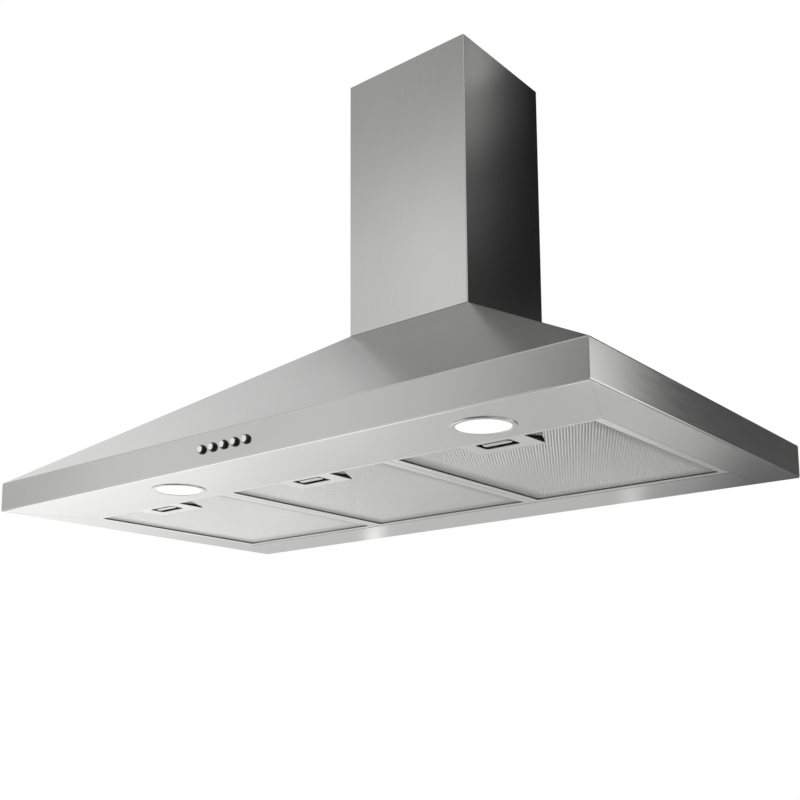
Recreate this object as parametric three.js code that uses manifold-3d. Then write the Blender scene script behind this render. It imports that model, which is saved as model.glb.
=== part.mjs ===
// Wall-mounted chimney range hood: a folded steel canopy with a telescopic chimney over a double-inlet
// blower, three hinged grease filters with sliding latches, two spot lamps and a row of five push buttons.
// Millimetres. +X is right, -Y is the front, +Z is up. The wall is the plane y = 0.
// The origin lies on the wall, centred, at the height of the hanging keyholes.

import * as THREE from 'three';
import { mergeVertices } from 'three/addons/utils/BufferGeometryUtils.js';
import Module from 'manifold-3d';

const wasm = await Module();
wasm.setup();

// ---- driving dimensions -------------------------------------------------------------------------

const seatGap = 0.3; // between pieces that seat on each other
const runGap = 0.4; // round a piece that slides in a hole
const cutPast = 5; // how far a cutting body runs past the face it cuts

// flats that a round face is drawn with
const largeRound = 36;
const mediumRound = 28;
const smallRound = 14;

// canopy
const hoodWidth = 900;
const hoodDepth = 500;
const bandHeight = 39; // upright band round the rim
const canopyHeight = 253; // rim to the top of the pyramid
const sheet = 1; // steel of the canopy
const frontFlange = 114.6; // flat underside in front of the filters
const sideFlange = 51;
const rearFlange = 80;
const mitreSlit = 0.5; // seam where two underside flanges meet
const mitreBridge = 4; // what the corner weld leaves of a flange beside its seam
const topLip = 10; // inward lip round the top of the pyramid
const hangHeight = 190; // rim to the seat of the keyholes
const panelSheet = 1.2; // galvanised rear panel
const keyholeSpacing = 240;
const keyholeHeadRadius = 8;
const keyholeSlotRadius = 3.5;
const keyholeDrop = 14; // from the slot's seat to the centre of the round entry

// chimney
const chimneyWidth = 202.6;
const chimneyDepth = 182.5;
const lowerChimneyLength = 376.7;
const chimneySheet = 1;
const chimneyBend = 1.6; // outside radius of the chimney's folds
const chimneyLip = 12; // return lip along the wall
const telescopeGap = 0.5; // between the two sections
const telescopeTravel = 300;
const telescopeOverlap = 40; // what stays inside the lower section when the upper one is drawn right out
const ventCount = 6;
const ventLength = 90;
const ventHeight = 5;
const ventPitch = 11;
const ventTopMargin = 18;
const bracketSheet = 1.5;
const bracketHeight = 30;
const bracketHalfWidth = 80; // flat of the bracket against the wall
const bracketStep = 12; // how far its ears step off the wall
const bracketEar = 16;
const bracketTopMargin = 95; // from the top of the upper section

// blower
const scrollHalfWidth = 95;
const scrollWall = 1.5;
const scrollCentreDepth = 120; // impeller axis in front of the wall
const scrollCentreHeight = 125; // impeller axis above the rim
const scrollStartRadius = 78;
const scrollEndRadius = 105;
const tongueAngle = 125; // degrees, where the spiral leaves the outlet
const inletRadius = 62;
const inletLipRadius = 55;
const inletLipLength = 11;
const outletRim = 8; // flange round the outlet, screwed to the top plate
const topPlateThickness = 1.2;
const topPlateSideMargin = 4;
const ductDiameter = 149; // outside of the collar, for a duct of 150
const collarWall = 1.5;
const collarHeight = 60;
const collarRim = 4.5;
const collarCentreDepth = 91;
const flapThickness = 1.2;
const flapPivotHeight = 22; // above the foot of the collar
const flapRodRadius = 2;
const knuckleWall = 1.3;
const knuckleWidth = 8;
const knuckleNear = 30; // a flap's two knuckles, to either side of the middle
const knuckleFar = 50;
const flapEdge = 4; // straight edge of a flap, from the rod's centre

// impeller and motor
const impellerRadius = 70;
const impellerEyeRadius = 58;
const impellerHalfLength = 82;
const impellerRing = 2.5;
const bladeCount = 24;
const bladeThickness = 1;
const bladeSweep = 14; // degrees from root to tip
const hubOffset = -22; // middle of the hub disc along the axis
const hubDisc = 1.6;
const hubRadius = 11;
const hubLength = 22;
const shaftRadius = 4;
const shaftEnd = 3; // past the hub
const motorRadius = 42;
const motorLength = 72;
const motorShoulder = 5;
const motorNose = 7;
const motorNoseRadius = 13;
const bracketPlate = 2; // pressed bracket that carries the motor
const bracketRimInner = 64;
const bracketRimOuter = 74;
const bracketArmCount = 3;
const bracketArmWidth = 11;
const bracketHubRadius = 22;

// electrical pieces
const junctionWidth = 90;
const junctionHeight = 60;
const junctionDepth = 34;
const junctionFromEnd = 160; // its middle, from the left end of the canopy
const junctionZ = 75;
const lidThickness = 2;
const glandRadius = 9;
const glandLength = 16;
const glandNutHeight = 5;
const glandNutRim = 2;
const glandTaper = 3;
const glandHoleRadius = 4;
const capacitorRadius = 15;
const capacitorLength = 62;
const capacitorFromEnd = 230; // its middle, from the right end of the canopy
const capacitorZ = 70;
const clipThickness = 1;
const clipWidth = 14;
const clipFoot = 10;

// push buttons
const buttonCount = 5;
const buttonPitch = 18;
const buttonRowX = -7; // the row sits a little left of the middle
const buttonRadius = 5.2;
const buttonStand = 1.2; // straight part of the button in front of the band
const buttonDome = 3;
const buttonCollarRadius = 6.4;
const buttonCollar = 1.2;
const buttonTailRadius = 2.2;
const buttonTail = 5.5;
const buttonTravel = 3;
const switchHousingDepth = 22;
const switchHousingHeight = 28;
const switchHousingMargin = 16;
const boardThickness = 1.6;
const boardMargin = 3;

// lamps
const lampFromLeftEnd = 290.4; // the two lamps aren't symmetrical about the middle
const lampFromRightEnd = 154.3;
const lampFromFront = 65;
const lampRingRadius = 33.5;
const lampRingThickness = 1.6;
const lampRingEdge = 1; // bevel round the ring
const lampSleeveRadius = 28.6;
const lampSleeveWall = 1.2;
const lampSleeveHeight = 9;
const lensThickness = 2.4;
const lensRecess = 2.3; // lens above the lower face of the ring
const lampBodyRadius = 31;
const lampBodyHeight = 20;
const lampBodyFlange = 3;
const lampBodyTaper = 3;

// filters
const filterCount = 3;
const filterGap = 0.6; // between neighbours, and at the sides of the opening
const filterHeight = 10;
const filterSideRim = 10.2;
const filterRearRim = 10.6;
const filterFrontRim = 4.4;
const filterWall = 1.2;
const meshRecess = 6; // from the underside up to the mesh
const meshThickness = 2.4;
const meshGrip = 3; // how far the mesh reaches into the frame
const latticePitch = 45;
const latticeBar = 3;
const rearClearance = 1.5; // frame to the rear flange, so the frame can tip
const tabWidth = 24;
const tabReach = 7;
const tabSpacing = 150;
const pivotHeight = 1.2; // hinge line above the rim
const latchPlateWidth = 81;
const latchPlateDepth = 45;
const fingerSlotWidth = 43;
const fingerSlotMargin = 1.8; // left behind the tab when the latch is drawn back
const fingerSlotFromFront = 7.2;
const latchWidth = 35;
const latchThickness = 1.2;
const latchTabDepth = 8.2;
const latchTabFromFront = 14.2;
const latchTabDrop = 0.4; // lower face of the finger tab above the rim
const latchLift = 1.7; // lower face of the bolt above the rim
const latchTravel = 6;
const guideWall = 1.2;

// ---- sizes worked out from them -----------------------------------------------------------------

const halfWidth = hoodWidth / 2;
const frontY = -hoodDepth;
const openingHalfWidth = halfWidth - sideFlange;
const openingFrontY = frontY + frontFlange;
const openingRearY = -rearFlange;
const chimneyHalf = chimneyWidth / 2;
const slopeRise = canopyHeight - bandHeight;
const sideRun = halfWidth - chimneyHalf;
const frontRun = hoodDepth - chimneyDepth;
const axisY = -scrollCentreDepth;
const axisZ = scrollCentreHeight;
const lipTopZ = canopyHeight - sheet;
const topPlateZ = lipTopZ - seatGap - topPlateThickness;
const collarFootZ = topPlateZ + topPlateThickness + seatGap;
const collarInner = ductDiameter / 2 - collarWall;
const flapPivotZ = collarFootZ + flapPivotHeight;
const panelFrontY = -panelSheet;
const upperChimneyLength = telescopeTravel + telescopeOverlap;
const lampXs = [-halfWidth + lampFromLeftEnd, halfWidth - lampFromRightEnd];
const junctionX = -halfWidth + junctionFromEnd;
const capacitorX = halfWidth - capacitorFromEnd;
const latchDrawnBack = latchTabFromFront + latchTabDepth + latchTravel; // rear of the finger tab
const fingerSlotDepth = latchDrawnBack + fingerSlotMargin - fingerSlotFromFront;

// ---- helpers ------------------------------------------------------------------------------------

// A closed geometry as a solid that can be joined and cut.
function solidFrom(geometry) {
  const bare = geometry.clone();
  bare.deleteAttribute('normal');
  bare.deleteAttribute('uv');
  const merged = mergeVertices(bare, 1e-4);
  return new wasm.Manifold(new wasm.Mesh({
    numProp: 3,
    vertProperties: new Float32Array(merged.attributes.position.array),
    triVerts: new Uint32Array(merged.index.array),
  }));
}

function geometryFrom(solid) {
  const mesh = solid.getMesh();
  const geometry = new THREE.BufferGeometry();
  geometry.setAttribute('position', new THREE.BufferAttribute(mesh.vertProperties, 3));
  geometry.setIndex(new THREE.BufferAttribute(mesh.triVerts, 1));
  geometry.computeVertexNormals();
  return geometry;
}

const join = (...parts) => parts.reduce((sum, part) => sum.add(part));
const cut = (body, ...tools) => tools.reduce((rest, tool) => rest.subtract(tool), body);

// A box between two corners.
function block([x0, x1], [y0, y1], [z0, z1]) {
  const box = new THREE.BoxGeometry(x1 - x0, y1 - y0, z1 - z0);
  box.translate((x0 + x1) / 2, (y0 + y1) / 2, (z0 + z1) / 2);
  return solidFrom(box);
}

// An outline drawn in plan, standing from z0 to z1.
function upright(shape, z0, z1, curveSegments = 8) {
  const body = new THREE.ExtrudeGeometry(shape, { depth: z1 - z0, bevelEnabled: false, curveSegments });
  body.translate(0, 0, z0);
  return solidFrom(body);
}

// An outline drawn in the wall's plane (x, z), from y0 back to y1.
function facing(shape, y0, y1, curveSegments = 8) {
  const body = new THREE.ExtrudeGeometry(shape, { depth: y1 - y0, bevelEnabled: false, curveSegments });
  body.rotateX(Math.PI / 2);
  body.translate(0, y1, 0);
  return solidFrom(body);
}

// An outline drawn from the side (y, z), from x0 to x1.
function sideways(shape, x0, x1, curveSegments = 8) {
  const body = new THREE.ExtrudeGeometry(shape, { depth: x1 - x0, bevelEnabled: false, curveSegments });
  const turn = new THREE.Matrix4().makeBasis(
    new THREE.Vector3(0, 1, 0), new THREE.Vector3(0, 0, 1), new THREE.Vector3(1, 0, 0));
  body.applyMatrix4(turn);
  body.translate(x0, 0, 0);
  return solidFrom(body);
}

// A turned piece: profile points are [radius, height] along the axis.
function turned(profile, axis, sides = mediumRound) {
  const points = profile.map(([radius, height]) => new THREE.Vector2(radius, height));
  const body = new THREE.LatheGeometry(points, sides);
  if (axis === 'z') body.rotateX(Math.PI / 2);
  if (axis === 'x') body.rotateZ(-Math.PI / 2);
  if (axis === '-y') body.rotateX(Math.PI);
  return solidFrom(body);
}

function rod(radius, from, to, axis, sides) {
  return turned([[0, from], [radius, from], [radius, to], [0, to]], axis, sides);
}

// A pipe wall: a ring of square section.
function ring(inner, outer, from, to, axis, sides) {
  return turned([[inner, from], [outer, from], [outer, to], [inner, to], [inner, from]], axis, sides);
}

function polygon(points) {
  return new THREE.Shape(points.map(([x, y]) => new THREE.Vector2(x, y)));
}

// A body whose level cross-sections are rectangles: a box with one row of vertices for each level.
function rectangleLoft(levels) {
  const box = new THREE.BoxGeometry(1, 1, 1, 1, 1, levels.length - 1);
  const position = box.attributes.position;
  for (let i = 0; i < position.count; i += 1) {
    const row = Math.round((position.getZ(i) + 0.5) * (levels.length - 1));
    const { z, half, front, back } = levels[row];
    position.setXYZ(i, position.getX(i) < 0 ? -half : half, position.getY(i) < 0 ? front : back, z);
  }
  return solidFrom(box);
}

const steel = { color: 0xb9bbbd, roughness: 0.34, metalness: 1 };
const galvanised = { color: 0x9a9fa3, roughness: 0.5, metalness: 1 };
const aluminium = { color: 0xc4c6c8, roughness: 0.4, metalness: 1 };
const chrome = { color: 0xd6d8da, roughness: 0.08, metalness: 1 };
const blackPlastic = { color: 0x1c1d1f, roughness: 0.5, metalness: 0 };
const greyPlastic = { color: 0x8b8d90, roughness: 0.5, metalness: 0 };
const circuitGreen = { color: 0x1f5a3a, roughness: 0.5, metalness: 0 };
const lensGlass = { color: 0xf4f4f0, roughness: 0.3, metalness: 0 };
const motorPaint = { color: 0x3a3d40, roughness: 0.45, metalness: 0.6 };

function piece(name, solid, look) {
  const mesh = new THREE.Mesh(geometryFrom(solid), new THREE.MeshStandardMaterial(look));
  mesh.name = name;
  return mesh;
}

// ---- canopy -------------------------------------------------------------------------------------

// Walls that lean are moved in level by more than their thickness.
const levelInset = (run, wall) => (wall * Math.hypot(run, slopeRise)) / slopeRise;

function canopyBody(wall, foot, head, back) {
  const sideIn = levelInset(sideRun, wall);
  const frontIn = levelInset(frontRun, wall);
  const foldDrop = ((sideIn - wall) * slopeRise) / sideRun;
  const headShare = (canopyHeight - head) / slopeRise;
  return rectangleLoft([
    { z: foot, half: halfWidth - wall, front: frontY + wall, back },
    { z: bandHeight - foldDrop, half: halfWidth - wall, front: frontY + wall, back },
    {
      z: head,
      half: chimneyHalf - sideIn + sideRun * headShare,
      front: -chimneyDepth + frontIn - frontRun * headShare,
      back,
    },
  ]);
}

// The seam from a corner of the opening to the outer corner, stopping at the weld.
function mitreCut(side) {
  const from = new THREE.Vector2(side * openingHalfWidth, openingFrontY);
  const corner = new THREE.Vector2(side * halfWidth, frontY);
  const run = corner.clone().sub(from);
  const length = run.length() - mitreBridge;
  const slit = new THREE.BoxGeometry(length, mitreSlit, 2 * cutPast);
  slit.translate(length / 2, 0, 0);
  slit.rotateZ(run.angle());
  slit.translate(from.x, from.y, 0);
  return solidFrom(slit);
}

function buildCanopy() {
  const outer = canopyBody(0, 0, canopyHeight, 0);
  const hollow = canopyBody(sheet, sheet, lipTopZ, cutPast);
  const filterOpening = block(
    [-openingHalfWidth, openingHalfWidth], [openingFrontY, openingRearY], [-cutPast, cutPast]);
  const lipHalf = chimneyHalf - sheet - topLip;
  const flueOpening = block(
    [-lipHalf, lipHalf], [-chimneyDepth + sheet + topLip, cutPast],
    [lipTopZ - cutPast, canopyHeight + cutPast]);
  const seams = [-1, 1].flatMap((side) => {
    const x = side * openingHalfWidth;
    const seamSpan = [openingRearY - mitreSlit, -mitreBridge];
    const rearSeam = block([x - mitreSlit / 2, x + mitreSlit / 2], seamSpan, [-cutPast, cutPast]);
    return [mitreCut(side), rearSeam];
  });
  const lampHoles = lampXs.map((x) => {
    const hole = rod(lampSleeveRadius + runGap, -cutPast, cutPast, 'z', largeRound);
    return hole.translate([x, frontY + lampFromFront, 0]);
  });
  const buttonHoles = buttonXs().map((x) => {
    const hole = rod(buttonRadius + runGap, -cutPast, cutPast, '-y', smallRound);
    return hole.translate([x, frontY, bandHeight / 2]);
  });
  const shell = cut(outer, hollow, filterOpening, flueOpening, ...seams, ...lampHoles, ...buttonHoles);
  return piece('canopy_shell', shell, steel);
}

// Keyhole for a wall screw: round entry below, slot with its seat at the hanging height.
function keyhole(x) {
  const slot = new THREE.Shape();
  const seat = hangHeight - keyholeSlotRadius;
  slot.absarc(x, seat, keyholeSlotRadius, 0, Math.PI, false);
  slot.lineTo(x - keyholeSlotRadius, hangHeight - keyholeDrop);
  slot.lineTo(x + keyholeSlotRadius, hangHeight - keyholeDrop);
  const entry = new THREE.Shape();
  entry.absarc(x, hangHeight - keyholeDrop, keyholeHeadRadius, 0, 2 * Math.PI, false);
  const past = panelSheet + cutPast;
  return join(facing(slot, -past, cutPast), facing(entry, -past, cutPast));
}

function buildRearPanel() {
  const inset = sheet + seatGap;
  const sideIn = levelInset(sideRun, inset);
  const topZ = lipTopZ - seatGap;
  const topHalf = chimneyHalf - sideIn + (sideRun * (canopyHeight - topZ)) / slopeRise;
  const foldZ = bandHeight - ((sideIn - inset) * slopeRise) / sideRun;
  const outline = polygon([
    [-halfWidth + inset, inset], [halfWidth - inset, inset], [halfWidth - inset, foldZ],
    [topHalf, topZ], [-topHalf, topZ], [-halfWidth + inset, foldZ],
  ]);
  const plate = facing(outline, panelFrontY, 0);
  const holes = [-keyholeSpacing / 2, keyholeSpacing / 2].map(keyhole);
  return piece('rear_panel', cut(plate, ...holes), galvanised);
}

// ---- chimney ------------------------------------------------------------------------------------

// Plan of a chimney section: front, two sides and return lips along the wall, folded from one sheet.
function chimneyPlan(half, front, back) {
  const plan = new THREE.Shape();
  const bend = chimneyBend;
  const inner = bend - chimneySheet;
  plan.moveTo(half - chimneyLip, back);
  plan.lineTo(half, back);
  plan.lineTo(half, front + bend);
  plan.absarc(half - bend, front + bend, bend, 0, -Math.PI / 2, true);
  plan.lineTo(-half + bend, front);
  plan.absarc(-half + bend, front + bend, bend, -Math.PI / 2, -Math.PI, true);
  plan.lineTo(-half, back);
  plan.lineTo(-half + chimneyLip, back);
  plan.lineTo(-half + chimneyLip, back - chimneySheet);
  plan.lineTo(-half + chimneySheet, back - chimneySheet);
  plan.absarc(-half + bend, front + bend, inner, Math.PI, 1.5 * Math.PI, false);
  plan.absarc(half - bend, front + bend, inner, -Math.PI / 2, 0, false);
  plan.lineTo(half - chimneySheet, back - chimneySheet);
  plan.lineTo(half - chimneyLip, back - chimneySheet);
  return plan;
}

function buildChimney() {
  const foot = canopyHeight + seatGap;
  const lower = upright(chimneyPlan(chimneyHalf, -chimneyDepth, 0), foot, foot + lowerChimneyLength, 4);

  const step = chimneySheet + telescopeGap;
  const upperHalf = chimneyHalf - step;
  const upperTop = foot + lowerChimneyLength - telescopeGap;
  const upperFoot = upperTop - upperChimneyLength;
  const upper = upright(chimneyPlan(upperHalf, -chimneyDepth + step, -step), upperFoot, upperTop, 4);
  const ventSpan = [(-chimneyDepth - ventLength) / 2, (-chimneyDepth + ventLength) / 2];
  const vents = Array.from({ length: ventCount }, (_, i) => {
    const top = upperTop - ventTopMargin - i * ventPitch;
    return block([-chimneyWidth, chimneyWidth], ventSpan, [top - ventHeight, top]);
  });

  // hat-shaped strip: flat on the wall, ears screwed to the inside of the upper section
  const earX = upperHalf - chimneySheet - seatGap;
  const earFront = -bracketStep - bracketEar;
  const t = bracketSheet;
  const w = bracketHalfWidth;
  const halfPlan = [
    [w, 0], [w, -bracketStep], [earX, -bracketStep], [earX, earFront],
    [earX - t, earFront], [earX - t, -bracketStep - t], [w - t, -bracketStep - t], [w - t, -t],
  ];
  const otherHalf = halfPlan.map(([x, y]) => [-x, y]).reverse();
  const bracketTop = upperTop - bracketTopMargin;
  const bracket = upright(polygon([...halfPlan, ...otherHalf]), bracketTop - bracketHeight, bracketTop);

  return [
    piece('lower_chimney', lower, steel),
    piece('upper_chimney', cut(upper, ...vents), steel),
    piece('upper_bracket', bracket, galvanised),
  ];
}

// ---- blower -------------------------------------------------------------------------------------

// Side outline of the scroll: a spiral that opens into an upright outlet. inset moves the wall inwards.
function scrollOutline(inset, top) {
  const start = THREE.MathUtils.degToRad(tongueAngle);
  const end = 2 * Math.PI;
  const steps = 17;
  const points = [];
  for (let i = 0; i <= steps; i += 1) {
    const angle = start + ((end - start) * i) / steps;
    const radius = scrollStartRadius + ((scrollEndRadius - scrollStartRadius) * i) / steps - inset;
    points.push([axisY + radius * Math.cos(angle), axisZ + radius * Math.sin(angle)]);
  }
  const tongueY = axisY + scrollStartRadius * Math.cos(start) + inset;
  points[0] = [tongueY, axisZ + scrollStartRadius * Math.sin(start)];
  points.push([axisY + scrollEndRadius - inset, top], [tongueY, top]);
  return polygon(points);
}

const scrollTopZ = topPlateZ - seatGap;

function scrollHalf(name, side) {
  const inner = seatGap / 2;
  const span = (near, far) => (side > 0 ? [near, far] : [-far, -near]);
  const [x0, x1] = span(inner, scrollHalfWidth);
  const [h0, h1] = span(inner - cutPast, scrollHalfWidth - scrollWall);
  const shell = sideways(scrollOutline(0, scrollTopZ), x0, x1);
  const hollow = sideways(scrollOutline(scrollWall, scrollTopZ + cutPast), h0, h1);
  const outletFront = axisY + scrollStartRadius * Math.cos(THREE.MathUtils.degToRad(tongueAngle));
  const outletRear = axisY + scrollEndRadius;
  const [r0, r1] = span(inner, scrollHalfWidth - cutPast);
  const rimSpan = [outletFront - outletRim, outletRear + outletRim];
  const rim = block([r0, r1], rimSpan, [scrollTopZ - scrollWall, scrollTopZ]);
  const throatSpan = [outletFront + scrollWall, outletRear - scrollWall];
  const throat = block([h0, h1], throatSpan, [axisZ, scrollTopZ + cutPast]);
  const inlet = rod(inletRadius, scrollHalfWidth - 2 * cutPast, scrollHalfWidth + cutPast, 'x', mediumRound);
  // rolled inlet that leads the air into the impeller's eye
  const face = scrollHalfWidth - scrollWall;
  const lipEnd = scrollHalfWidth - inletLipLength;
  const w = scrollWall;
  const mouth = turned([
    [inletRadius + cutPast, scrollHalfWidth], [inletRadius - w, scrollHalfWidth],
    [inletLipRadius, scrollHalfWidth - inletLipLength / 2], [inletLipRadius, lipEnd],
    [inletLipRadius + w, lipEnd], [inletLipRadius + w, face - inletLipLength / 3],
    [inletRadius, face], [inletRadius + cutPast, face], [inletRadius + cutPast, scrollHalfWidth],
  ], 'x', mediumRound);
  const turn = side > 0 ? [0, 0, 0] : [0, 0, 180];
  const place = [0, axisY, axisZ];
  const eye = inlet.rotate(turn).translate(place);
  const bell = mouth.rotate(turn).translate(place);
  return piece(name, join(cut(join(shell, rim), hollow, throat, eye), bell), galvanised);
}

// One forward-curved blade, drawn from the end of the impeller, with its root at the eye.
function bladeOutline() {
  const steps = 3;
  const left = [];
  const right = [];
  const root = impellerEyeRadius + bladeThickness;
  const tip = impellerRadius - bladeThickness;
  for (let i = 0; i <= steps; i += 1) {
    const share = i / steps;
    const radius = root + (tip - root) * share;
    const angle = THREE.MathUtils.degToRad(bladeSweep) * share * share;
    const half = Math.asin(bladeThickness / 2 / radius) / Math.cos(Math.atan(2 * share));
    left.push([radius * Math.cos(angle - half), radius * Math.sin(angle - half)]);
    right.push([radius * Math.cos(angle + half), radius * Math.sin(angle + half)]);
  }
  return polygon([...left, ...right.reverse()]);
}

function buildImpeller() {
  const end = impellerHalfLength;
  const blade = sideways(bladeOutline(), -end + impellerRing / 2, end - impellerRing / 2);
  const blades = Array.from({ length: bladeCount }, (_, i) => blade.rotate([(360 * i) / bladeCount, 0, 0]));
  const rings = [[-end, -end + impellerRing], [end - impellerRing, end]].map(
    ([from, to]) => ring(impellerEyeRadius, impellerRadius, from, to, 'x', mediumRound));
  const discRadius = impellerEyeRadius + 3 * bladeThickness;
  const disc = rod(discRadius, hubOffset - hubDisc / 2, hubOffset + hubDisc / 2, 'x', mediumRound);
  const hub = rod(hubRadius, hubOffset - hubLength / 2, hubOffset + hubLength / 2, 'x', smallRound);
  const bore = rod(shaftRadius + seatGap, -end, end, 'x', smallRound);
  const wheel = cut(join(...rings, disc, hub, ...blades), bore);
  const motorFace = scrollHalfWidth - motorLength - motorNose - seatGap;
  const shaft = rod(shaftRadius, hubOffset - hubLength / 2 - shaftEnd, motorFace, 'x', smallRound);
  return [piece('impeller', wheel, galvanised), piece('impeller_shaft', shaft, chrome)];
}

function buildMotor() {
  const back = scrollHalfWidth;
  const front = back - motorLength;
  const motor = turned([
    [0, front - motorNose], [motorNoseRadius, front - motorNose], [motorNoseRadius, front],
    [motorRadius - motorShoulder, front], [motorRadius, front + motorShoulder],
    [motorRadius, back - motorShoulder], [motorRadius - motorShoulder, back], [0, back],
  ], 'x', mediumRound);
  const plate = [back + seatGap, back + seatGap + bracketPlate];
  const rim = ring(bracketRimInner, bracketRimOuter, ...plate, 'x', mediumRound);
  const middle = rod(bracketHubRadius, ...plate, 'x', mediumRound);
  const reach = (bracketRimInner + bracketRimOuter) / 2;
  const arm = block(plate, [-bracketArmWidth / 2, bracketArmWidth / 2], [0, reach]);
  const arms = Array.from({ length: bracketArmCount }, (_, i) => {
    const angle = (360 * (i + 0.5)) / bracketArmCount;
    return arm.rotate([angle, 0, 0]);
  });
  const bracket = join(rim, middle, ...arms);
  return [piece('motor', motor, motorPaint), piece('motor_bracket', bracket, galvanised)];
}

// A half-round flap that hinges on the rod, its knuckles apart from the other flap's.
function flap(name, side, knuckleXs) {
  const radius = collarInner - 2 * runGap;
  const disc = rod(radius, -flapThickness / 2, flapThickness / 2, 'z', largeRound);
  const [y0, y1] = side > 0 ? [flapEdge, radius + cutPast] : [-radius - cutPast, -flapEdge];
  const half = disc.intersect(block([-radius, radius], [y0, y1], [-cutPast, cutPast]));
  const knuckleOuter = flapRodRadius + seatGap + knuckleWall;
  const knuckles = knuckleXs.map((x) => {
    const ends = [x - knuckleWidth / 2, x + knuckleWidth / 2];
    const barrel = ring(flapRodRadius + seatGap, knuckleOuter, ...ends, 'x', smallRound);
    const reach = [flapRodRadius + seatGap + knuckleWall / 2, flapEdge + knuckleWall];
    const web = side > 0 ? reach : [-reach[1], -reach[0]];
    return join(barrel, block(ends, web, [-flapThickness / 2, flapThickness / 2]));
  });
  return piece(name, join(half, ...knuckles).translate([0, -collarCentreDepth, flapPivotZ]), aluminium);
}

function buildOutlet() {
  const half = chimneyHalf - sheet - topPlateSideMargin;
  const front = -chimneyDepth + sheet + topPlateSideMargin / 2;
  const rear = panelFrontY - seatGap;
  const plate = block([-half, half], [front, rear], [topPlateZ, topPlateZ + topPlateThickness]);
  const hole = rod(collarInner, topPlateZ - cutPast, topPlateZ + cutPast, 'z', largeRound);
  const r = ductDiameter / 2;
  const foot = collarFootZ;
  const collar = turned([
    [collarInner, foot], [r + collarRim, foot], [r + collarRim, foot + collarWall], [r, foot + collarWall],
    [r, foot + collarHeight], [collarInner, foot + collarHeight], [collarInner, foot],
  ], 'z', largeRound);
  const centre = [0, -collarCentreDepth, 0];
  const rodHalf = Math.sqrt(collarInner ** 2 - flapRodRadius ** 2) - 2 * seatGap;
  const hingeRod = rod(flapRodRadius, -rodHalf, rodHalf, 'x', smallRound);
  return [
    piece('blower_top_plate', cut(plate, hole.translate(centre)), galvanised),
    piece('duct_collar', collar.translate(centre), blackPlastic),
    piece('flap_rod', hingeRod.translate([0, -collarCentreDepth, flapPivotZ]), galvanised),
    flap('flap_front', -1, [-knuckleFar, knuckleNear]),
    flap('flap_rear', 1, [-knuckleNear, knuckleFar]),
  ];
}

// ---- electrical pieces --------------------------------------------------------------------------

function buildElectrics() {
  const back = panelFrontY - seatGap;
  const front = back - junctionDepth;
  const span = [junctionX - junctionWidth / 2, junctionX + junctionWidth / 2];
  const rise = [junctionZ - junctionHeight / 2, junctionZ + junctionHeight / 2];
  const box = block(span, [front, back], rise);
  const lid = block(span, [front - seatGap - lidThickness, front - seatGap], rise);
  const foot = rise[1] + seatGap;
  const nutRadius = glandRadius + glandNutRim;
  const nutTop = foot + glandNutHeight;
  const glandTop = foot + glandLength;
  const nut = turned([
    [glandHoleRadius, foot], [nutRadius, foot], [nutRadius, nutTop], [glandRadius, nutTop],
    [glandRadius, glandTop - glandTaper], [glandRadius - glandNutRim, glandTop],
    [glandHoleRadius, glandTop], [glandHoleRadius, foot],
  ], 'z', smallRound);
  const gland = nut.translate([junctionX, (front + back) / 2, 0]);

  const canY = back - capacitorRadius;
  const canPlace = [capacitorX, canY, capacitorZ];
  const can = rod(capacitorRadius, -capacitorLength / 2, capacitorLength / 2, 'x', mediumRound);
  const inner = capacitorRadius + seatGap;
  const outer = inner + clipThickness;
  const strap = ring(inner, outer, -clipWidth / 2, clipWidth / 2, 'x', mediumRound);
  const wallSide = back - clipThickness;
  const width = [capacitorX - clipWidth / 2, capacitorX + clipWidth / 2];
  const behind = block([-halfWidth, halfWidth], [wallSide, cutPast], [0, canopyHeight]);
  const loop = cut(strap.translate(canPlace), behind);
  const beside = (side, from, to) => {
    const ends = [capacitorZ + side * from, capacitorZ + side * to];
    return ends.sort((a, b) => a - b);
  };
  const feet = [-1, 1].map((side) => block(width, [wallSide, back], beside(side, inner, outer + clipFoot)));
  const legs = [-1, 1].map((side) => block(width, [canY, back], beside(side, inner, outer)));
  return [
    piece('junction_box', box, blackPlastic),
    piece('junction_lid', lid, blackPlastic),
    piece('cable_gland', gland, blackPlastic),
    piece('capacitor', can.translate(canPlace), greyPlastic),
    piece('capacitor_clip', join(loop, ...legs, ...feet), galvanised),
  ];
}

// ---- push buttons -------------------------------------------------------------------------------

function buttonXs() {
  const middle = (buttonCount - 1) / 2;
  return Array.from({ length: buttonCount }, (_, i) => buttonRowX + (i - middle) * buttonPitch);
}

// Heights in the profile are measured outwards from the front face of the band.
function buttonSolid() {
  const domeRadius = (buttonRadius ** 2 + buttonDome ** 2) / (2 * buttonDome);
  const domeCentre = buttonStand + buttonDome - domeRadius;
  const collarFront = -sheet - seatGap;
  const collarBack = collarFront - buttonCollar;
  const steps = 4;
  const dome = Array.from({ length: steps }, (_, i) => {
    const angle = Math.asin(buttonRadius / domeRadius) * (1 - (i + 1) / steps);
    return [domeRadius * Math.sin(angle), domeCentre + domeRadius * Math.cos(angle)];
  });
  dome[steps - 1][0] = 0;
  const tailBack = collarBack - buttonTail;
  return turned([
    [0, tailBack], [buttonTailRadius, tailBack], [buttonTailRadius, collarBack],
    [buttonCollarRadius, collarBack], [buttonCollarRadius, collarFront], [buttonRadius, collarFront],
    [buttonRadius, buttonStand], ...dome,
  ], '-y', smallRound);
}

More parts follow.
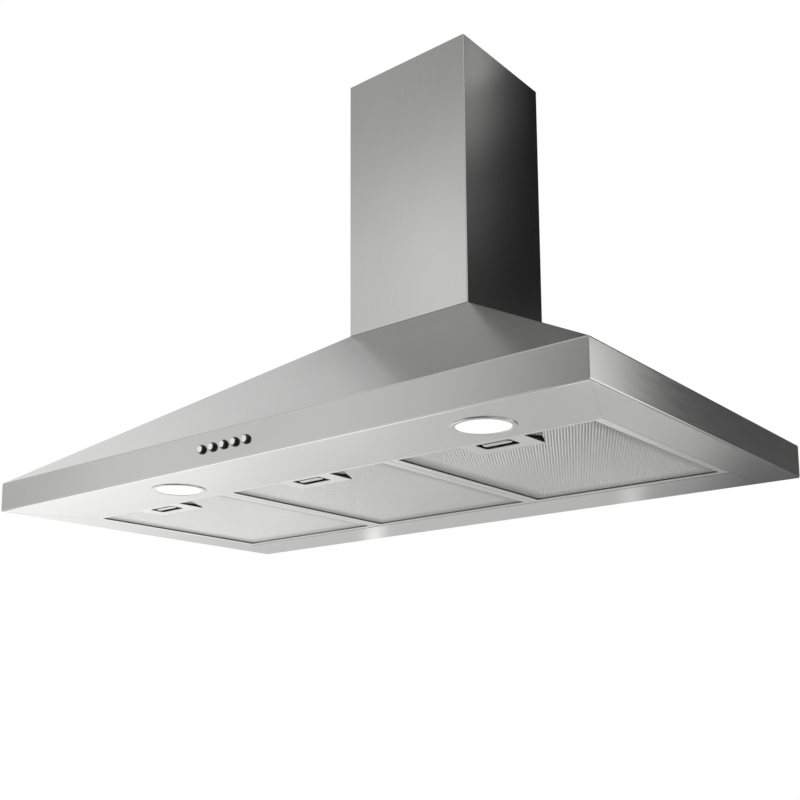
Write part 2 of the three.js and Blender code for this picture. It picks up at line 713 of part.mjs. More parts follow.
function buildControls() {
  const xs = buttonXs();
  const buttons = xs.map((x, i) => {
    const button = piece(`button_${i + 1}`, buttonSolid(), chrome);
    button.position.set(x, frontY, bandHeight / 2);
    return button;
  });
  const face = frontY + sheet + seatGap;
  const span = [xs[0] - switchHousingMargin, xs[buttonCount - 1] + switchHousingMargin];
  const rise = [(bandHeight - switchHousingHeight) / 2, (bandHeight + switchHousingHeight) / 2];
  const body = block(span, [face, face + switchHousingDepth], rise);
  const boreDepth = buttonCollar + buttonTail + buttonTravel + runGap;
  const bores = xs.map((x) => {
    const bore = rod(buttonCollarRadius + runGap, -boreDepth, cutPast, '-y', smallRound);
    return bore.translate([x, face, bandHeight / 2]);
  });
  const boardFace = face + switchHousingDepth + seatGap;
  const board = block(
    [span[0] + boardMargin, span[1] - boardMargin], [boardFace, boardFace + boardThickness],
    [rise[0] + boardMargin, rise[1] - boardMargin]);
  return [
    ...buttons,
    piece('switch_housing', cut(body, ...bores), blackPlastic),
    piece('control_board', board, circuitGreen),
  ];
}

// ---- lamps --------------------------------------------------------------------------------------

function buildLamp(side, x) {
  const top = -seatGap;
  const bottom = top - lampRingThickness;
  const bore = lampSleeveRadius - lampSleeveWall;
  const lampRing = turned([
    [bore, bottom], [lampRingRadius - lampRingEdge, bottom],
    [lampRingRadius, bottom + lampRingEdge], [lampRingRadius, top],
    [lampSleeveRadius, top], [lampSleeveRadius, lampSleeveHeight], [bore, lampSleeveHeight], [bore, bottom],
  ], 'z', mediumRound);
  const lensFoot = bottom + lensRecess;
  const lens = rod(bore - seatGap, lensFoot, lensFoot + lensThickness, 'z', mediumRound);
  const bodyFoot = lampSleeveHeight + seatGap;
  const lampBody = turned([
    [0, bodyFoot], [lampBodyRadius, bodyFoot], [lampBodyRadius, bodyFoot + lampBodyFlange],
    [lampSleeveRadius, bodyFoot + lampBodyFlange],
    [lampSleeveRadius - lampBodyTaper, bodyFoot + lampBodyHeight], [0, bodyFoot + lampBodyHeight],
  ], 'z', mediumRound);
  const pieces = [
    piece(`lamp_ring_${side}`, lampRing, steel),
    piece(`lamp_lens_${side}`, lens, lensGlass),
    piece(`lamp_body_${side}`, lampBody, aluminium),
  ];
  pieces.forEach((part) => part.position.set(x, frontY + lampFromFront, 0));
  return pieces;
}

// ---- filters ------------------------------------------------------------------------------------

const filterPitch = (2 * openingHalfWidth) / filterCount;
const filterHalf = (filterPitch - filterGap) / 2;
const filterFrontY = openingFrontY + runGap;
const filterRearY = openingRearY - rearClearance;
const windowX = [-filterHalf + filterSideRim, filterHalf - filterSideRim];
const windowY = [filterFrontY + filterFrontRim, filterRearY - filterRearRim];
const guideHalf = latchWidth / 2 + runGap;
const guideTop = meshRecess - seatGap;

function filterFrame() {
  const wall = filterWall;
  const body = block([-filterHalf, filterHalf], [filterFrontY, filterRearY], [0, filterHeight]);
  const window = block(windowX, windowY, [-cutPast, filterHeight + cutPast]);
  const groove = block(
    [windowX[0] - meshGrip - seatGap, windowX[1] + meshGrip + seatGap],
    [windowY[0] - meshGrip - seatGap, windowY[1] + meshGrip + seatGap],
    [meshRecess - seatGap, meshRecess + meshThickness + seatGap]);
  const frame = cut(body, window, groove);
  const tabs = [-1, 1].map((side) => {
    const x = (side * tabSpacing) / 2;
    return block(
      [x - tabWidth / 2, x + tabWidth / 2], [filterRearY - wall, openingRearY + tabReach],
      [pivotHeight + seatGap, pivotHeight + seatGap + wall]);
  });

  // latch plate, flush with the underside, boxed in up to the mesh
  const plateHalf = latchPlateWidth / 2;
  const plateRear = filterFrontY + latchPlateDepth;
  const plate = block([-plateHalf, plateHalf], [filterFrontY, plateRear], [0, wall]);
  const skirtSpan = [filterFrontY + filterFrontRim, plateRear - wall];
  const skirt = cut(
    block([-plateHalf, plateHalf], [filterFrontY, plateRear], [0, guideTop]),
    block([-plateHalf + wall, plateHalf - wall], skirtSpan, [-cutPast, guideTop + cutPast]));
  const slotFront = filterFrontY + fingerSlotFromFront;
  const slotSpan = [slotFront, slotFront + fingerSlotDepth];
  const slot = block([-fingerSlotWidth / 2, fingerSlotWidth / 2], slotSpan, [-cutPast, wall + runGap]);
  const guideY = [filterFrontY + filterFrontRim - wall, filterFrontY + latchTabFromFront - runGap];
  const guides = [-1, 1].map((side) => {
    const ends = [side * guideHalf, side * (guideHalf + guideWall)].sort((a, b) => a - b);
    return block(ends, [guideY[0], plateRear - wall / 2], [0, guideTop]);
  });
  const strapFoot = latchLift + latchThickness + seatGap;
  const strapHalf = guideHalf + guideWall;
  const strap = block([-strapHalf, strapHalf], guideY, [strapFoot, strapFoot + wall]);
  const boltGate = block(
    [-guideHalf, guideHalf], [filterFrontY - cutPast, filterFrontY + filterFrontRim + runGap],
    [latchLift - seatGap, latchLift + latchThickness + seatGap]);
  const latchBox = cut(join(plate, skirt, ...guides), slot);
  return cut(join(frame, ...tabs, latchBox, strap), boltGate);
}

// Coarse lozenge lattice inside a plain border.
function filterMesh() {
  const x = [windowX[0] - meshGrip, windowX[1] + meshGrip];
  const y = [windowY[0] - meshGrip, windowY[1] + meshGrip];
  const z = [meshRecess, meshRecess + meshThickness];
  const panel = block(x, y, z);
  const border = meshGrip + latticeBar;
  const columns = Math.floor((x[1] - x[0] - 2 * border) / latticePitch);
  const rows = Math.floor((y[1] - y[0] - 2 * border) / latticePitch);
  const pitchX = (x[1] - x[0] - 2 * border) / columns;
  const pitchY = (y[1] - y[0] - 2 * border) / rows;
  const shrink = (latticeBar * Math.SQRT2) / 2;
  const holeX = pitchX / 2 - shrink;
  const holeY = pitchY / 2 - shrink;
  const outline = polygon([[-holeX, 0], [0, -holeY], [holeX, 0], [0, holeY]]);
  const lozenge = upright(outline, z[0] - cutPast, z[1] + cutPast);
  const holes = [];
  for (let row = 0; row < 2 * rows - 1; row += 1) {
    const odd = row % 2;
    for (let column = 0; column < columns - odd; column += 1) {
      const cx = x[0] + border + pitchX * (column + 0.5 + odd / 2);
      const cy = y[0] + border + (pitchY * (row + 1)) / 2;
      holes.push(lozenge.translate([cx, cy, 0]));
    }
  }
  return cut(panel, ...holes);
}

// Bolt in front, finger tab hanging into the slot of the plate.
function filterLatch() {
  const half = latchWidth / 2;
  const tip = filterFrontY - runGap + seatGap;
  const tab = [filterFrontY + latchTabFromFront, filterFrontY + latchTabFromFront + latchTabDepth];
  const bolt = block([-half, half], [tip, tab[1]], [latchLift, latchLift + latchThickness]);
  return join(bolt, block([-half, half], tab, [latchTabDrop, latchLift + latchThickness]));
}

function buildFilters() {
  const frame = filterFrame();
  const mesh = filterMesh();
  const latch = filterLatch();
  return Array.from({ length: filterCount }, (_, i) => {
    const filter = new THREE.Group();
    filter.position.x = (i - (filterCount - 1) / 2) * filterPitch;
    filter.add(
      piece(`filter_frame_${i + 1}`, frame, aluminium),
      piece(`filter_mesh_${i + 1}`, mesh, aluminium),
      piece(`filter_latch_${i + 1}`, latch, steel));
    return filter;
  });
}

// ---- assembly -----------------------------------------------------------------------------------

const hood = new THREE.Group();
const impellerGroup = new THREE.Group();
impellerGroup.position.set(0, axisY, axisZ);
impellerGroup.add(...buildImpeller(), ...buildMotor());

hood.add(
  buildCanopy(),
  buildRearPanel(),
  ...buildChimney(),
  scrollHalf('blower_scroll_left', -1),
  scrollHalf('blower_scroll_right', 1),
  impellerGroup,
  ...buildOutlet(),
  ...buildElectrics(),
  ...buildControls(),
  ...buildLamp('left', lampXs[0]),
  ...buildLamp('right', lampXs[1]),
  ...buildFilters());
hood.position.z = -hangHeight;

export default hood;
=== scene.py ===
import math

import bpy
from mathutils import Euler, Matrix, Vector


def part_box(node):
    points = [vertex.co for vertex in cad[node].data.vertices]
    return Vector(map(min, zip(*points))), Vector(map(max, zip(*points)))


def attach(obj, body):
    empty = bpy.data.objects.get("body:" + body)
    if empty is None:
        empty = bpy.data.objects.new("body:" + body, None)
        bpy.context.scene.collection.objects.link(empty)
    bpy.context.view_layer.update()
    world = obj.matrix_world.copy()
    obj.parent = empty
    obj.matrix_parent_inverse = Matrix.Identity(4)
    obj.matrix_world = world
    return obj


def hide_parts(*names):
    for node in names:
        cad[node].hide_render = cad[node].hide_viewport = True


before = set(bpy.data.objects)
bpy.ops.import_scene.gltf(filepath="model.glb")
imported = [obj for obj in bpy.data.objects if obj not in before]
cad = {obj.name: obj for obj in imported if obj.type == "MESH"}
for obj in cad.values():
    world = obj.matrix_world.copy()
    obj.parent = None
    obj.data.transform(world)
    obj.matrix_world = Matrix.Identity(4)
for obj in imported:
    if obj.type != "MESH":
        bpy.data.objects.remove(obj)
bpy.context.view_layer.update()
print("frame loaded:", len(cad), "nodes")

millimetre = 0.001
sameSpot = 0.00001  # metres: two places nearer than this are one
facing = 0.9  # a direction with more than this along an axis counts as along it
crossing = 0.1  # and one with less counts as square to it


# hand tools: pick leaves its piece in edit mode with the choice selected, and finishEdit closes it

def deselectAll():
    if bpy.context.mode != "OBJECT":
        bpy.ops.object.mode_set(mode="OBJECT")
    bpy.ops.object.select_all(action="DESELECT")


def workOn(piece):
    deselectAll()
    piece.select_set(True)
    bpy.context.view_layer.objects.active = piece


def settle(piece):  # the place, turn and scale go into the mesh
    workOn(piece)
    bpy.ops.object.transform_apply(location=True, rotation=True, scale=True)
    return piece


def named(name):  # the primitive just added
    piece = bpy.context.active_object
    piece.name = name
    piece.data.name = name
    return settle(piece)


def addBox(name, low, high):
    deselectAll()
    low, high = Vector(low), Vector(high)
    bpy.ops.mesh.primitive_cube_add(size=1, location=(low + high) / 2, scale=high - low)
    return named(name)


def addPlane(name, low, high, height):
    deselectAll()
    middle = ((low[0] + high[0]) / 2, (low[1] + high[1]) / 2, height)
    bpy.ops.mesh.primitive_plane_add(size=1, location=middle)
    bpy.context.active_object.scale = (high[0] - low[0], high[1] - low[1], 1)
    return named(name)


def addRod(name, radius, start, end, sides=48):  # a cylinder between two points
    deselectAll()
    start, end = Vector(start), Vector(end)
    along = end - start
    turn = Vector((0, 0, 1)).rotation_difference(along.normalized()).to_euler()
    bpy.ops.mesh.primitive_cylinder_add(
        vertices=sides, radius=radius, depth=along.length, location=(start + end) / 2, rotation=turn)
    return named(name)


def pick(piece, kind, test):  # kind is VERT, EDGE or FACE; test gets its middle and its normal or direction
    workOn(piece)
    bpy.ops.object.mode_set(mode="EDIT")
    bpy.ops.mesh.select_mode(type=kind)
    bpy.ops.mesh.select_all(action="DESELECT")
    bpy.ops.object.mode_set(mode="OBJECT")
    mesh = piece.data
    if kind == "FACE":
        for face in mesh.polygons:
            face.select = test(face.center, face.normal)
    elif kind == "EDGE":
        for edge in mesh.edges:
            a, b = (mesh.vertices[i].co for i in edge.vertices)
            edge.select = test((a + b) / 2, (b - a).normalized())
    else:
        for vertex in mesh.vertices:
            vertex.select = test(vertex.co, vertex.normal)
    bpy.ops.object.mode_set(mode="EDIT")


def finishEdit():
    bpy.ops.object.mode_set(mode="OBJECT")


def modify(piece, kind, **settings):
    workOn(piece)
    modifier = piece.modifiers.new(kind.title(), kind)
    for key, value in settings.items():
        setattr(modifier, key, value)
    bpy.ops.object.modifier_apply(modifier=modifier.name)
    return piece


def cutWith(piece, *tools):
    for tool in tools:
        modify(piece, "BOOLEAN", operation="DIFFERENCE", solver="EXACT", object=tool)
        bpy.data.objects.remove(tool)
    return piece


def joined(name, pieces):
    workOn(pieces[0])
    for piece in pieces:
        piece.select_set(True)
    bpy.ops.object.join()
    pieces[0].name = name
    pieces[0].data.name = name
    return pieces[0]


def copyTo(piece, name, offset):  # the copy gets a mesh of its own
    twin = piece.copy()
    twin.data = piece.data.copy()
    twin.name = name
    twin.data.name = name
    bpy.context.scene.collection.objects.link(twin)
    twin.data.transform(Matrix.Translation(offset))
    return twin


def smooth(piece, degrees=30):  # the folds are rounded, the flat faces beside them stay flat
    workOn(piece)
    bpy.ops.object.shade_smooth_by_angle(angle=math.radians(degrees))
    return modify(piece, "WEIGHTED_NORMAL", keep_sharp=True, weight=100)


def finishPiece(piece, body, slot, *nodes):
    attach(piece, body)
    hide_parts(*nodes)


# materials

noiseLow, noiseHigh = 0.3, 0.7  # most of a noise pattern lies between these


def linear(hexColour):
    shares = [int(hexColour[i:i + 2], 16) / 255 for i in (1, 3, 5)]
    return [s / 12.92 if s <= 0.04045 else ((s + 0.055) / 1.055) ** 2.4 for s in shares] + [1]


def addNode(tree, kind, settings=None, links=None):
    node = tree.nodes.new(kind)
    for key, value in (settings or {}).items():
        if isinstance(key, int) or key in node.inputs:
            node.inputs[key].default_value = value
        else:
            setattr(node, key, value)
    for socket, source in (links or {}).items():
        tree.links.new(source, node.inputs[socket])
    return node


def newMaterial(name, surface):
    material = bpy.data.materials.new(name)
    material.use_nodes = True
    tree = material.node_tree
    tree.nodes.clear()
    shader = addNode(tree, "ShaderNodeBsdfPrincipled", surface)
    addNode(tree, "ShaderNodeOutputMaterial", links={"Surface": shader.outputs["BSDF"]})
    return material, tree, shader


def objectNoise(tree, size, detail=2, roughness=0.5):  # size is the grain in metres along x, y and z
    place = addNode(tree, "ShaderNodeTexCoord").outputs["Object"]
    scaled = addNode(tree, "ShaderNodeMapping", {"Scale": [1 / s for s in size]}, {"Vector": place})
    return addNode(
        tree, "ShaderNodeTexNoise", {"Scale": 1, "Detail": detail, "Roughness": roughness},
        {"Vector": scaled.outputs["Vector"]}).outputs["Fac"]


def between(tree, value, low, high):
    return addNode(
        tree, "ShaderNodeMapRange",
        {"From Min": noiseLow, "From Max": noiseHigh, "To Min": low, "To Max": high},
        {"Value": value}).outputs["Result"]


def tinted(tree, value, dark, light):
    ramp = addNode(tree, "ShaderNodeValToRGB", links={"Fac": value})
    first, second = ramp.color_ramp.elements
    first.position, first.color = noiseLow, linear(dark)
    second.position, second.color = noiseHigh, linear(light)
    return ramp.outputs["Color"]


def bumped(tree, shader, height, strength, depth):
    bump = addNode(tree, "ShaderNodeBump", {"Strength": strength, "Distance": depth}, {"Height": height})
    tree.links.new(bump.outputs["Normal"], shader.inputs["Normal"])


# Stainless steel, brushed on a belt: a soft satin gloss with straight fine streaks along the sheet. The real
# streaks are under 0.1 mm wide and are drawn wider, so that they show. Grain is the axis they run along, and
# polish the lowest roughness.
def brushedStainless(name, grain, polish=0.16):
    streak = [0.5 * millimetre] * 3
    streak[grain] = 60 * millimetre
    material, tree, shader = newMaterial(name, {"Metallic": 1, "Anisotropic": 0.4})
    streaks = objectNoise(tree, streak, 3, 0.6)
    clouds = objectNoise(tree, [0.12] * 3, 2)
    blend = addNode(tree, "ShaderNodeMix", {"Factor": 0.35}, {"A": streaks, "B": clouds}).outputs["Result"]
    tree.links.new(tinted(tree, blend, "#c0c0bf", "#cacac9"), shader.inputs["Base Color"])
    tree.links.new(between(tree, streaks, polish, polish + 0.06), shader.inputs["Roughness"])
    bumped(tree, shader, streaks, 0.12, 0.02 * millimetre)
    return material


# Galvanised steel, hot dipped: dull grey with the leaf shapes of the zinc, lighter and darker by turns.
def galvanisedSteel():
    material, tree, shader = newMaterial("galvanised steel, hot dipped", {"Metallic": 1})
    place = addNode(tree, "ShaderNodeTexCoord").outputs["Object"]
    spangle = addNode(
        tree, "ShaderNodeTexVoronoi", {"Scale": 1 / (9 * millimetre), "Randomness": 1}, {"Vector": place})
    grey = addNode(tree, "ShaderNodeSeparateColor", links={"Color": spangle.outputs["Color"]}).outputs["Red"]
    tree.links.new(tinted(tree, grey, "#90959a", "#aab0b4"), shader.inputs["Base Color"])
    tree.links.new(between(tree, grey, 0.36, 0.5), shader.inputs["Roughness"])
    return material


# Aluminium, rolled and formed: a silvery mill finish, duller than the steel, with faint roll lines.
def rolledAluminium():
    material, tree, shader = newMaterial("aluminium, rolled mill finish", {"Metallic": 1})
    lines = objectNoise(tree, [40 * millimetre, 0.7 * millimetre, 0.7 * millimetre], 2)
    tree.links.new(tinted(tree, lines, "#cacac9", "#d4d4d3"), shader.inputs["Base Color"])
    tree.links.new(between(tree, lines, 0.3, 0.4), shader.inputs["Roughness"])
    return material


# Aluminium mesh, slit and drawn open: bright strands, each a little unlike the next. Where a point attribute
# is low the colour turns to a darker grey, painted shade: along the frame, where the lip keeps the mesh in
# shade, and beside the latch box.
def expandedAluminium():
    material, tree, shader = newMaterial("aluminium, expanded mesh", {"Metallic": 1})
    patches = objectNoise(tree, [3 * millimetre] * 3, 2)
    inside = addNode(tree, "ShaderNodeAttribute", {"attribute_name": "clear_of_painted_shade"}).outputs["Fac"]
    bright = tinted(tree, patches, "#c6c6c5", "#d7d7d6")
    colour = addNode(tree, "ShaderNodeMix", {"data_type": "RGBA"}, {0: inside, 7: bright})
    # the darker grey of the painted shade
    colour.inputs[6].default_value = linear("#838483")
    tree.links.new(colour.outputs[2], shader.inputs["Base Color"])
    tree.links.new(between(tree, patches, 0.3, 0.42), shader.inputs["Roughness"])
    return material


# Brass with bright chrome plate: a mirror with a cool cast; faint wipe marks keep it from looking perfect.
def chromePlate():
    material, tree, shader = newMaterial("chrome plate, polished", {"Metallic": 1})
    marks = objectNoise(tree, [4 * millimetre] * 3, 3)
    tree.links.new(tinted(tree, marks, "#dfe1e3", "#e6e8ea"), shader.inputs["Base Color"])
    tree.links.new(between(tree, marks, 0.05, 0.12), shader.inputs["Roughness"])
    return material


# Moulded plastic: satin with the fine spark texture of the mould.
def mouldedPlastic(name, dark, light, roughness):
    material, tree, shader = newMaterial(name, {"Metallic": 0, "IOR": 1.53})
    spark = objectNoise(tree, [0.8 * millimetre] * 3, 3)
    tree.links.new(tinted(tree, spark, dark, light), shader.inputs["Base Color"])
    tree.links.new(between(tree, spark, roughness - 0.06, roughness + 0.06), shader.inputs["Roughness"])
    bumped(tree, shader, spark, 0.3, 0.05 * millimetre)
    return material


# Acrylic, polished black: a deep gloss that shows the room as a small sharp picture.
def polishedAcrylic():
    material, tree, shader = newMaterial("acrylic, polished black", {"Metallic": 0, "IOR": 1.49})
    haze = objectNoise(tree, [2 * millimetre] * 3, 2)
    tree.links.new(tinted(tree, haze, "#08090a", "#0c0d0e"), shader.inputs["Base Color"])
    tree.links.new(between(tree, haze, 0.05, 0.09), shader.inputs["Roughness"])
    return material


# Solder mask on glass fibre: green lacquer with the darker blocks of copper under it.
def solderMask():
    material, tree, shader = newMaterial(
        "solder mask on glass fibre", {"Metallic": 0, "IOR": 1.5, "Roughness": 0.35})
    place = addNode(tree, "ShaderNodeTexCoord").outputs["Object"]
    copper = addNode(
        tree, "ShaderNodeTexBrick", {
            "Scale": 1 / (8 * millimetre), "Color1": linear("#1d5637"), "Color2": linear("#226142"),
            "Mortar": linear("#133c27"), "Mortar Size": 0.03}, {"Vector": place})
    tree.links.new(copper.outputs["Color"], shader.inputs["Base Color"])
    return material


# Opal glass over the lamp: lit from behind, a flat bright white that is a touch dimmer between the diodes.
def litOpalGlass():
    material, tree, shader = newMaterial(
        "opal glass, lit", {"Roughness": 0.25, "IOR": 1.5, "Emission Strength": 0.9})
    place = addNode(tree, "ShaderNodeTexCoord").outputs["Object"]
    dots = addNode(
        tree, "ShaderNodeTexVoronoi", {"Scale": 1 / (9 * millimetre), "Randomness": 0.2}, {"Vector": place})
    glow = tinted(tree, dots.outputs["Distance"], "#ffffff", "#eff0ee")
    tree.links.new(glow, shader.inputs["Emission Color"])
    tree.links.new(tinted(tree, dots.outputs["Distance"], "#3a3a3a", "#323232"), shader.inputs["Base Color"])
    return material


# Motor enamel, dipped and baked: dark grey, half glossy, with a slight orange peel.
def bakedEnamel():
    material, tree, shader = newMaterial("motor enamel, baked", {"Metallic": 0, "IOR": 1.5})
    peel = objectNoise(tree, [1.5 * millimetre] * 3, 2)
    tree.links.new(tinted(tree, peel, "#35383b", "#404346"), shader.inputs["Base Color"])
    tree.links.new(between(tree, peel, 0.28, 0.4), shader.inputs["Roughness"])
    bumped(tree, shader, peel, 0.4, 0.05 * millimetre)
    return material


steelAcross = brushedStainless("stainless steel, brushed along the front", 0)
steelDeep = brushedStainless("stainless steel, brushed along the side", 1, 0.13)
steelUpright = brushedStainless("stainless steel, brushed upright", 2, 0.08)
galvanised = galvanisedSteel()
aluminium = rolledAluminium()
meshAluminium = expandedAluminium()
chrome = chromePlate()
blackAcrylic = polishedAcrylic()
blackPlastic = mouldedPlastic("polyamide, moulded black", "#1b1c1e", "#242527", 0.45)
greyPlastic = mouldedPlastic("polypropylene, moulded grey", "#85878a", "#909295", 0.5)
greenBoard = solderMask()
opalGlass = litOpalGlass()
enamel = bakedEnamel()
print("materials ready")


# canopy: one folded sheet with rolled edges, open to the wall, its underside cut out for the filters

canopy = {
    "bandHeight": 0.039,
    "sheet": 0.001,
    "rimRadius": 0.002,
    "foldRadius": 0.001,
    "foldFlats": 3,
    "topLip": 0.011,
    "sideFlange": 0.051,
    "frontFlange": 0.1146,
    "rearFlange": 0.080,
    "mitreSlit": 0.0004,
    "mitreDepth": 0.0004,
    "mitreWeld": 0.004,
    "seamOverlap": 0.001,
    "cutBelow": 0.003,
    "cornerUpright": 0.99,  # the rounded rim has edges that stand a little less upright
    "sideNormal": 0.4,
    "lampHole": 0.029,
    "buttonHole": 0.0056,
    "holeReach": 0.004,
}
hoodLow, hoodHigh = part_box("canopy_shell")
chimneyLow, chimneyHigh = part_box("lower_chimney")
bandTop = hoodLow.z + canopy["bandHeight"]
openingX = hoodHigh.x - canopy["sideFlange"]
openingFront = hoodLow.y + canopy["frontFlange"]
openingRear = hoodHigh.y - canopy["rearFlange"]
lampPlaces = [sum(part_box(f"lamp_lens_{side}"), Vector()) / 2 for side in ("left", "right")]
buttonPlaces = [sum(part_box(f"button_{i}"), Vector()) / 2 for i in range(1, 6)]
print("canopy measured")


def foldedCanopy():
    shell = addBox("canopy_folded", hoodLow, (hoodHigh.x, hoodHigh.y, bandTop))
    pick(shell, "FACE", lambda middle, normal: normal.z > facing)
    bpy.ops.mesh.extrude_region_move(TRANSFORM_OT_translate={"value": (0, 0, hoodHigh.z - bandTop)})
    narrow = (chimneyHigh.x / hoodHigh.x, chimneyLow.y / hoodLow.y, 1)
    bpy.ops.transform.resize(value=narrow, center_override=(0, hoodHigh.y, hoodHigh.z))
    bpy.ops.mesh.inset(thickness=canopy["topLip"])
    bpy.ops.mesh.delete(type="FACE")
    finishEdit()

    cuts = [((openingX, 0, 0), (1, 0, 0)), ((-openingX, 0, 0), (1, 0, 0)),
            ((0, openingFront, 0), (0, 1, 0)), ((0, openingRear, 0), (0, 1, 0))]
    for place, across in cuts:
        pick(shell, "FACE", lambda middle, normal: normal.z < -facing)
        bpy.ops.mesh.bisect(plane_co=place, plane_no=across)
        finishEdit()

    def isOpen(middle, normal):  # the back, the top lip's rear strip and the middle of the underside
        topRear = middle.z > hoodHigh.z - sameSpot and middle.y > hoodHigh.y - canopy["topLip"]
        below = normal.z < -facing and abs(middle.x) < openingX and openingFront < middle.y < openingRear
        return normal.y > facing or topRear or below

    pick(shell, "FACE", isOpen)
    bpy.ops.mesh.delete(type="FACE")
    finishEdit()

    def onWall(middle):
        return abs(abs(middle.x) - hoodHigh.x) < sameSpot or abs(middle.y - hoodLow.y) < sameSpot

    def isRim(middle, along):
        return abs(middle.z - hoodLow.z) < sameSpot and onWall(middle)

    def isFold(middle, along):
        top = abs(middle.z - bandTop) < sameSpot and onWall(middle)
        corner = abs(along.z) > canopy["cornerUpright"] and middle.y < 0.5 * hoodLow.y
        hip = bandTop < middle.z < hoodHigh.z - sameSpot and middle.y < hoodHigh.y - sameSpot
        lip = abs(middle.z - hoodHigh.z) < sameSpot and (
            abs(abs(middle.x) - chimneyHigh.x) < sameSpot or abs(middle.y - chimneyLow.y) < sameSpot)
        return top or corner or hip or lip

    for test, radius in ((isRim, canopy["rimRadius"]), (isFold, canopy["foldRadius"])):
        pick(shell, "EDGE", test)
        bpy.ops.mesh.bevel(offset=radius, segments=canopy["foldFlats"], affect="EDGES")
        finishEdit()
    modify(shell, "SOLIDIFY", thickness=canopy["sheet"], offset=-1, use_even_offset=True)

    tools = []
    slit = canopy["mitreSlit"] / 2
    depth = canopy["mitreDepth"]
    overlap = canopy["seamOverlap"]
    below = canopy["cutBelow"]
    for side in (-1, 1):
        inner = Vector((side * openingX, openingFront, 0))
        outer = Vector((side * hoodHigh.x, hoodLow.y, 0))
        run = outer - inner
        length = run.length - canopy["mitreWeld"]
        blade = addBox("mitre", (-overlap, -slit, -below), (length, slit, depth))
        turn = Matrix.Rotation(math.atan2(run.y, run.x), 4, "Z")
        blade.data.transform(Matrix.Translation((inner.x, inner.y, hoodLow.z)) @ turn)
        rear = addBox(
            "rear seam", (side * openingX - slit, openingRear - overlap, hoodLow.z - below),
            (side * openingX + slit, hoodHigh.y - canopy["mitreWeld"], hoodLow.z + depth))
        tools += [blade, rear]
    for place in lampPlaces:
        base = Vector((place.x, place.y, hoodLow.z))
        reach = Vector((0, 0, canopy["holeReach"]))
        tools.append(addRod("lamp hole", canopy["lampHole"], base - reach, base + reach))
    for place in buttonPlaces:
        base = Vector((place.x, hoodLow.y, place.z))
        reach = Vector((0, canopy["holeReach"], 0))
        tools.append(addRod("button hole", canopy["buttonHole"], base - reach, base + reach, 32))
    cutWith(shell, *tools)
    return smooth(shell, 35)


canopyPiece = foldedCanopy()
for material in (steelAcross, steelDeep):
    canopyPiece.data.materials.append(material)
for face in canopyPiece.data.polygons:  # the sides were brushed front to back
    isSide = abs(face.normal.x) > canopy["sideNormal"] and abs(face.normal.y) < canopy["sideNormal"]
    face.material_index = 1 if isSide else 0
finishPiece(canopyPiece, "canopy", "stainless", "canopy_shell")
print("canopy folded:", len(canopyPiece.data.polygons), "faces")


# grease filters: folded frame with a boxed-in latch plate, two layers of mesh, sliding latch

filterSizes = {
    "sideRim": 0.0102,
    "rearRim": 0.0106,
    "frontRim": 0.0044,
    "lipSheet": 0.0008,
    "topLip": 0.006,
    "edgeRadius": 0.0006,
    "cellPitch": 0.0036,
    "holeShare": 0.58,
    "strandRise": 0.0002,
    "layerGap": 0.0012,
    "meshHeight": 0.0014,
    # painted shade on the mesh: the next three set how far in from the window's edges its colour is darkened
    "paintedShadeEdge": 0.026,  # the mesh is fully bright this far inside its window
    "paintedShadeRear": (0.009, 0.6),  # the depth that counts at the rear edge, and how fast it grows inwards
    "paintedShadeRight": (0.010, 0.9),
    "pocketWidth": 0.011,
    "pocketWidest": 0.55,
    "plateWidth": 0.081,
    "plateDepth": 0.045,
    "plateHeight": 0.0057,
    "wall": 0.0012,
    "slotWidth": 0.043,
    "slotDepth": 0.023,
    "slotFromFront": 0.0072,
    "slotRadius": 0.0035,
    "rearGap": 0.0015,
    "meshPlay": 0.0004,
    "weld": 0.00002,
    "slotBelow": 0.002,
    "slotAbove": 0.0003,
    "tabPlace": 0.075,
    "tabHalfWidth": 0.012,
    "tabHeights": (0.0015, 0.0027),
    "tabCorner": 0.003,
}
filterLow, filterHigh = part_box("filter_frame_2")
filterRear = openingRear - filterSizes["rearGap"]
sideRim = filterSizes["sideRim"]
windowLow = Vector((filterLow.x + sideRim, filterLow.y + filterSizes["frontRim"], filterLow.z))
windowHigh = Vector((filterHigh.x - sideRim, filterRear - filterSizes["rearRim"], filterHigh.z))


def foldedRim():  # a lip below, a wall outside, a lip above, so the mesh runs on in the shade of the lip
    rim = addPlane("filter rim", filterLow, (filterHigh.x, filterRear), filterLow.z)
    pick(rim, "FACE", lambda middle, normal: True)
    bpy.ops.mesh.flip_normals()
    bpy.ops.mesh.inset(thickness=sideRim)
    bpy.ops.mesh.delete(type="FACE")
    finishEdit()
    drawnFrom = filterLow.y + sideRim
    pick(rim, "EDGE", lambda middle, along: abs(middle.y - drawnFrom) < sameSpot and abs(middle.x) < sameSpot)
    bpy.ops.transform.translate(value=(0, windowLow.y - drawnFrom, 0))
    finishEdit()

    def isOuter(middle, along):
        return (abs(abs(middle.x) - filterHigh.x) < sameSpot or abs(middle.y - filterLow.y) < sameSpot
                or abs(middle.y - filterRear) < sameSpot)
    pick(rim, "EDGE", isOuter)
    bpy.ops.mesh.extrude_region_move(TRANSFORM_OT_translate={"value": (0, 0, filterHigh.z - filterLow.z)})
    bpy.ops.mesh.extrude_region_move(TRANSFORM_OT_translate={"value": (0, 0, 0)})
    wide, deep = filterHigh.x - filterLow.x, filterRear - filterLow.y
    lip = 2 * filterSizes["topLip"]
    centre = (0, (filterLow.y + filterRear) / 2, filterHigh.z)
    bpy.ops.transform.resize(value=(1 - lip / wide, 1 - lip / deep, 1), center_override=centre)
    finishEdit()
    pick(rim, "EDGE", lambda middle, along: isOuter(middle, along) and abs(along.z) < crossing)
    bpy.ops.mesh.bevel(offset=filterSizes["edgeRadius"], segments=3, affect="EDGES")
    finishEdit()
    return modify(rim, "SOLIDIFY", thickness=filterSizes["lipSheet"], offset=-1, use_even_offset=True)


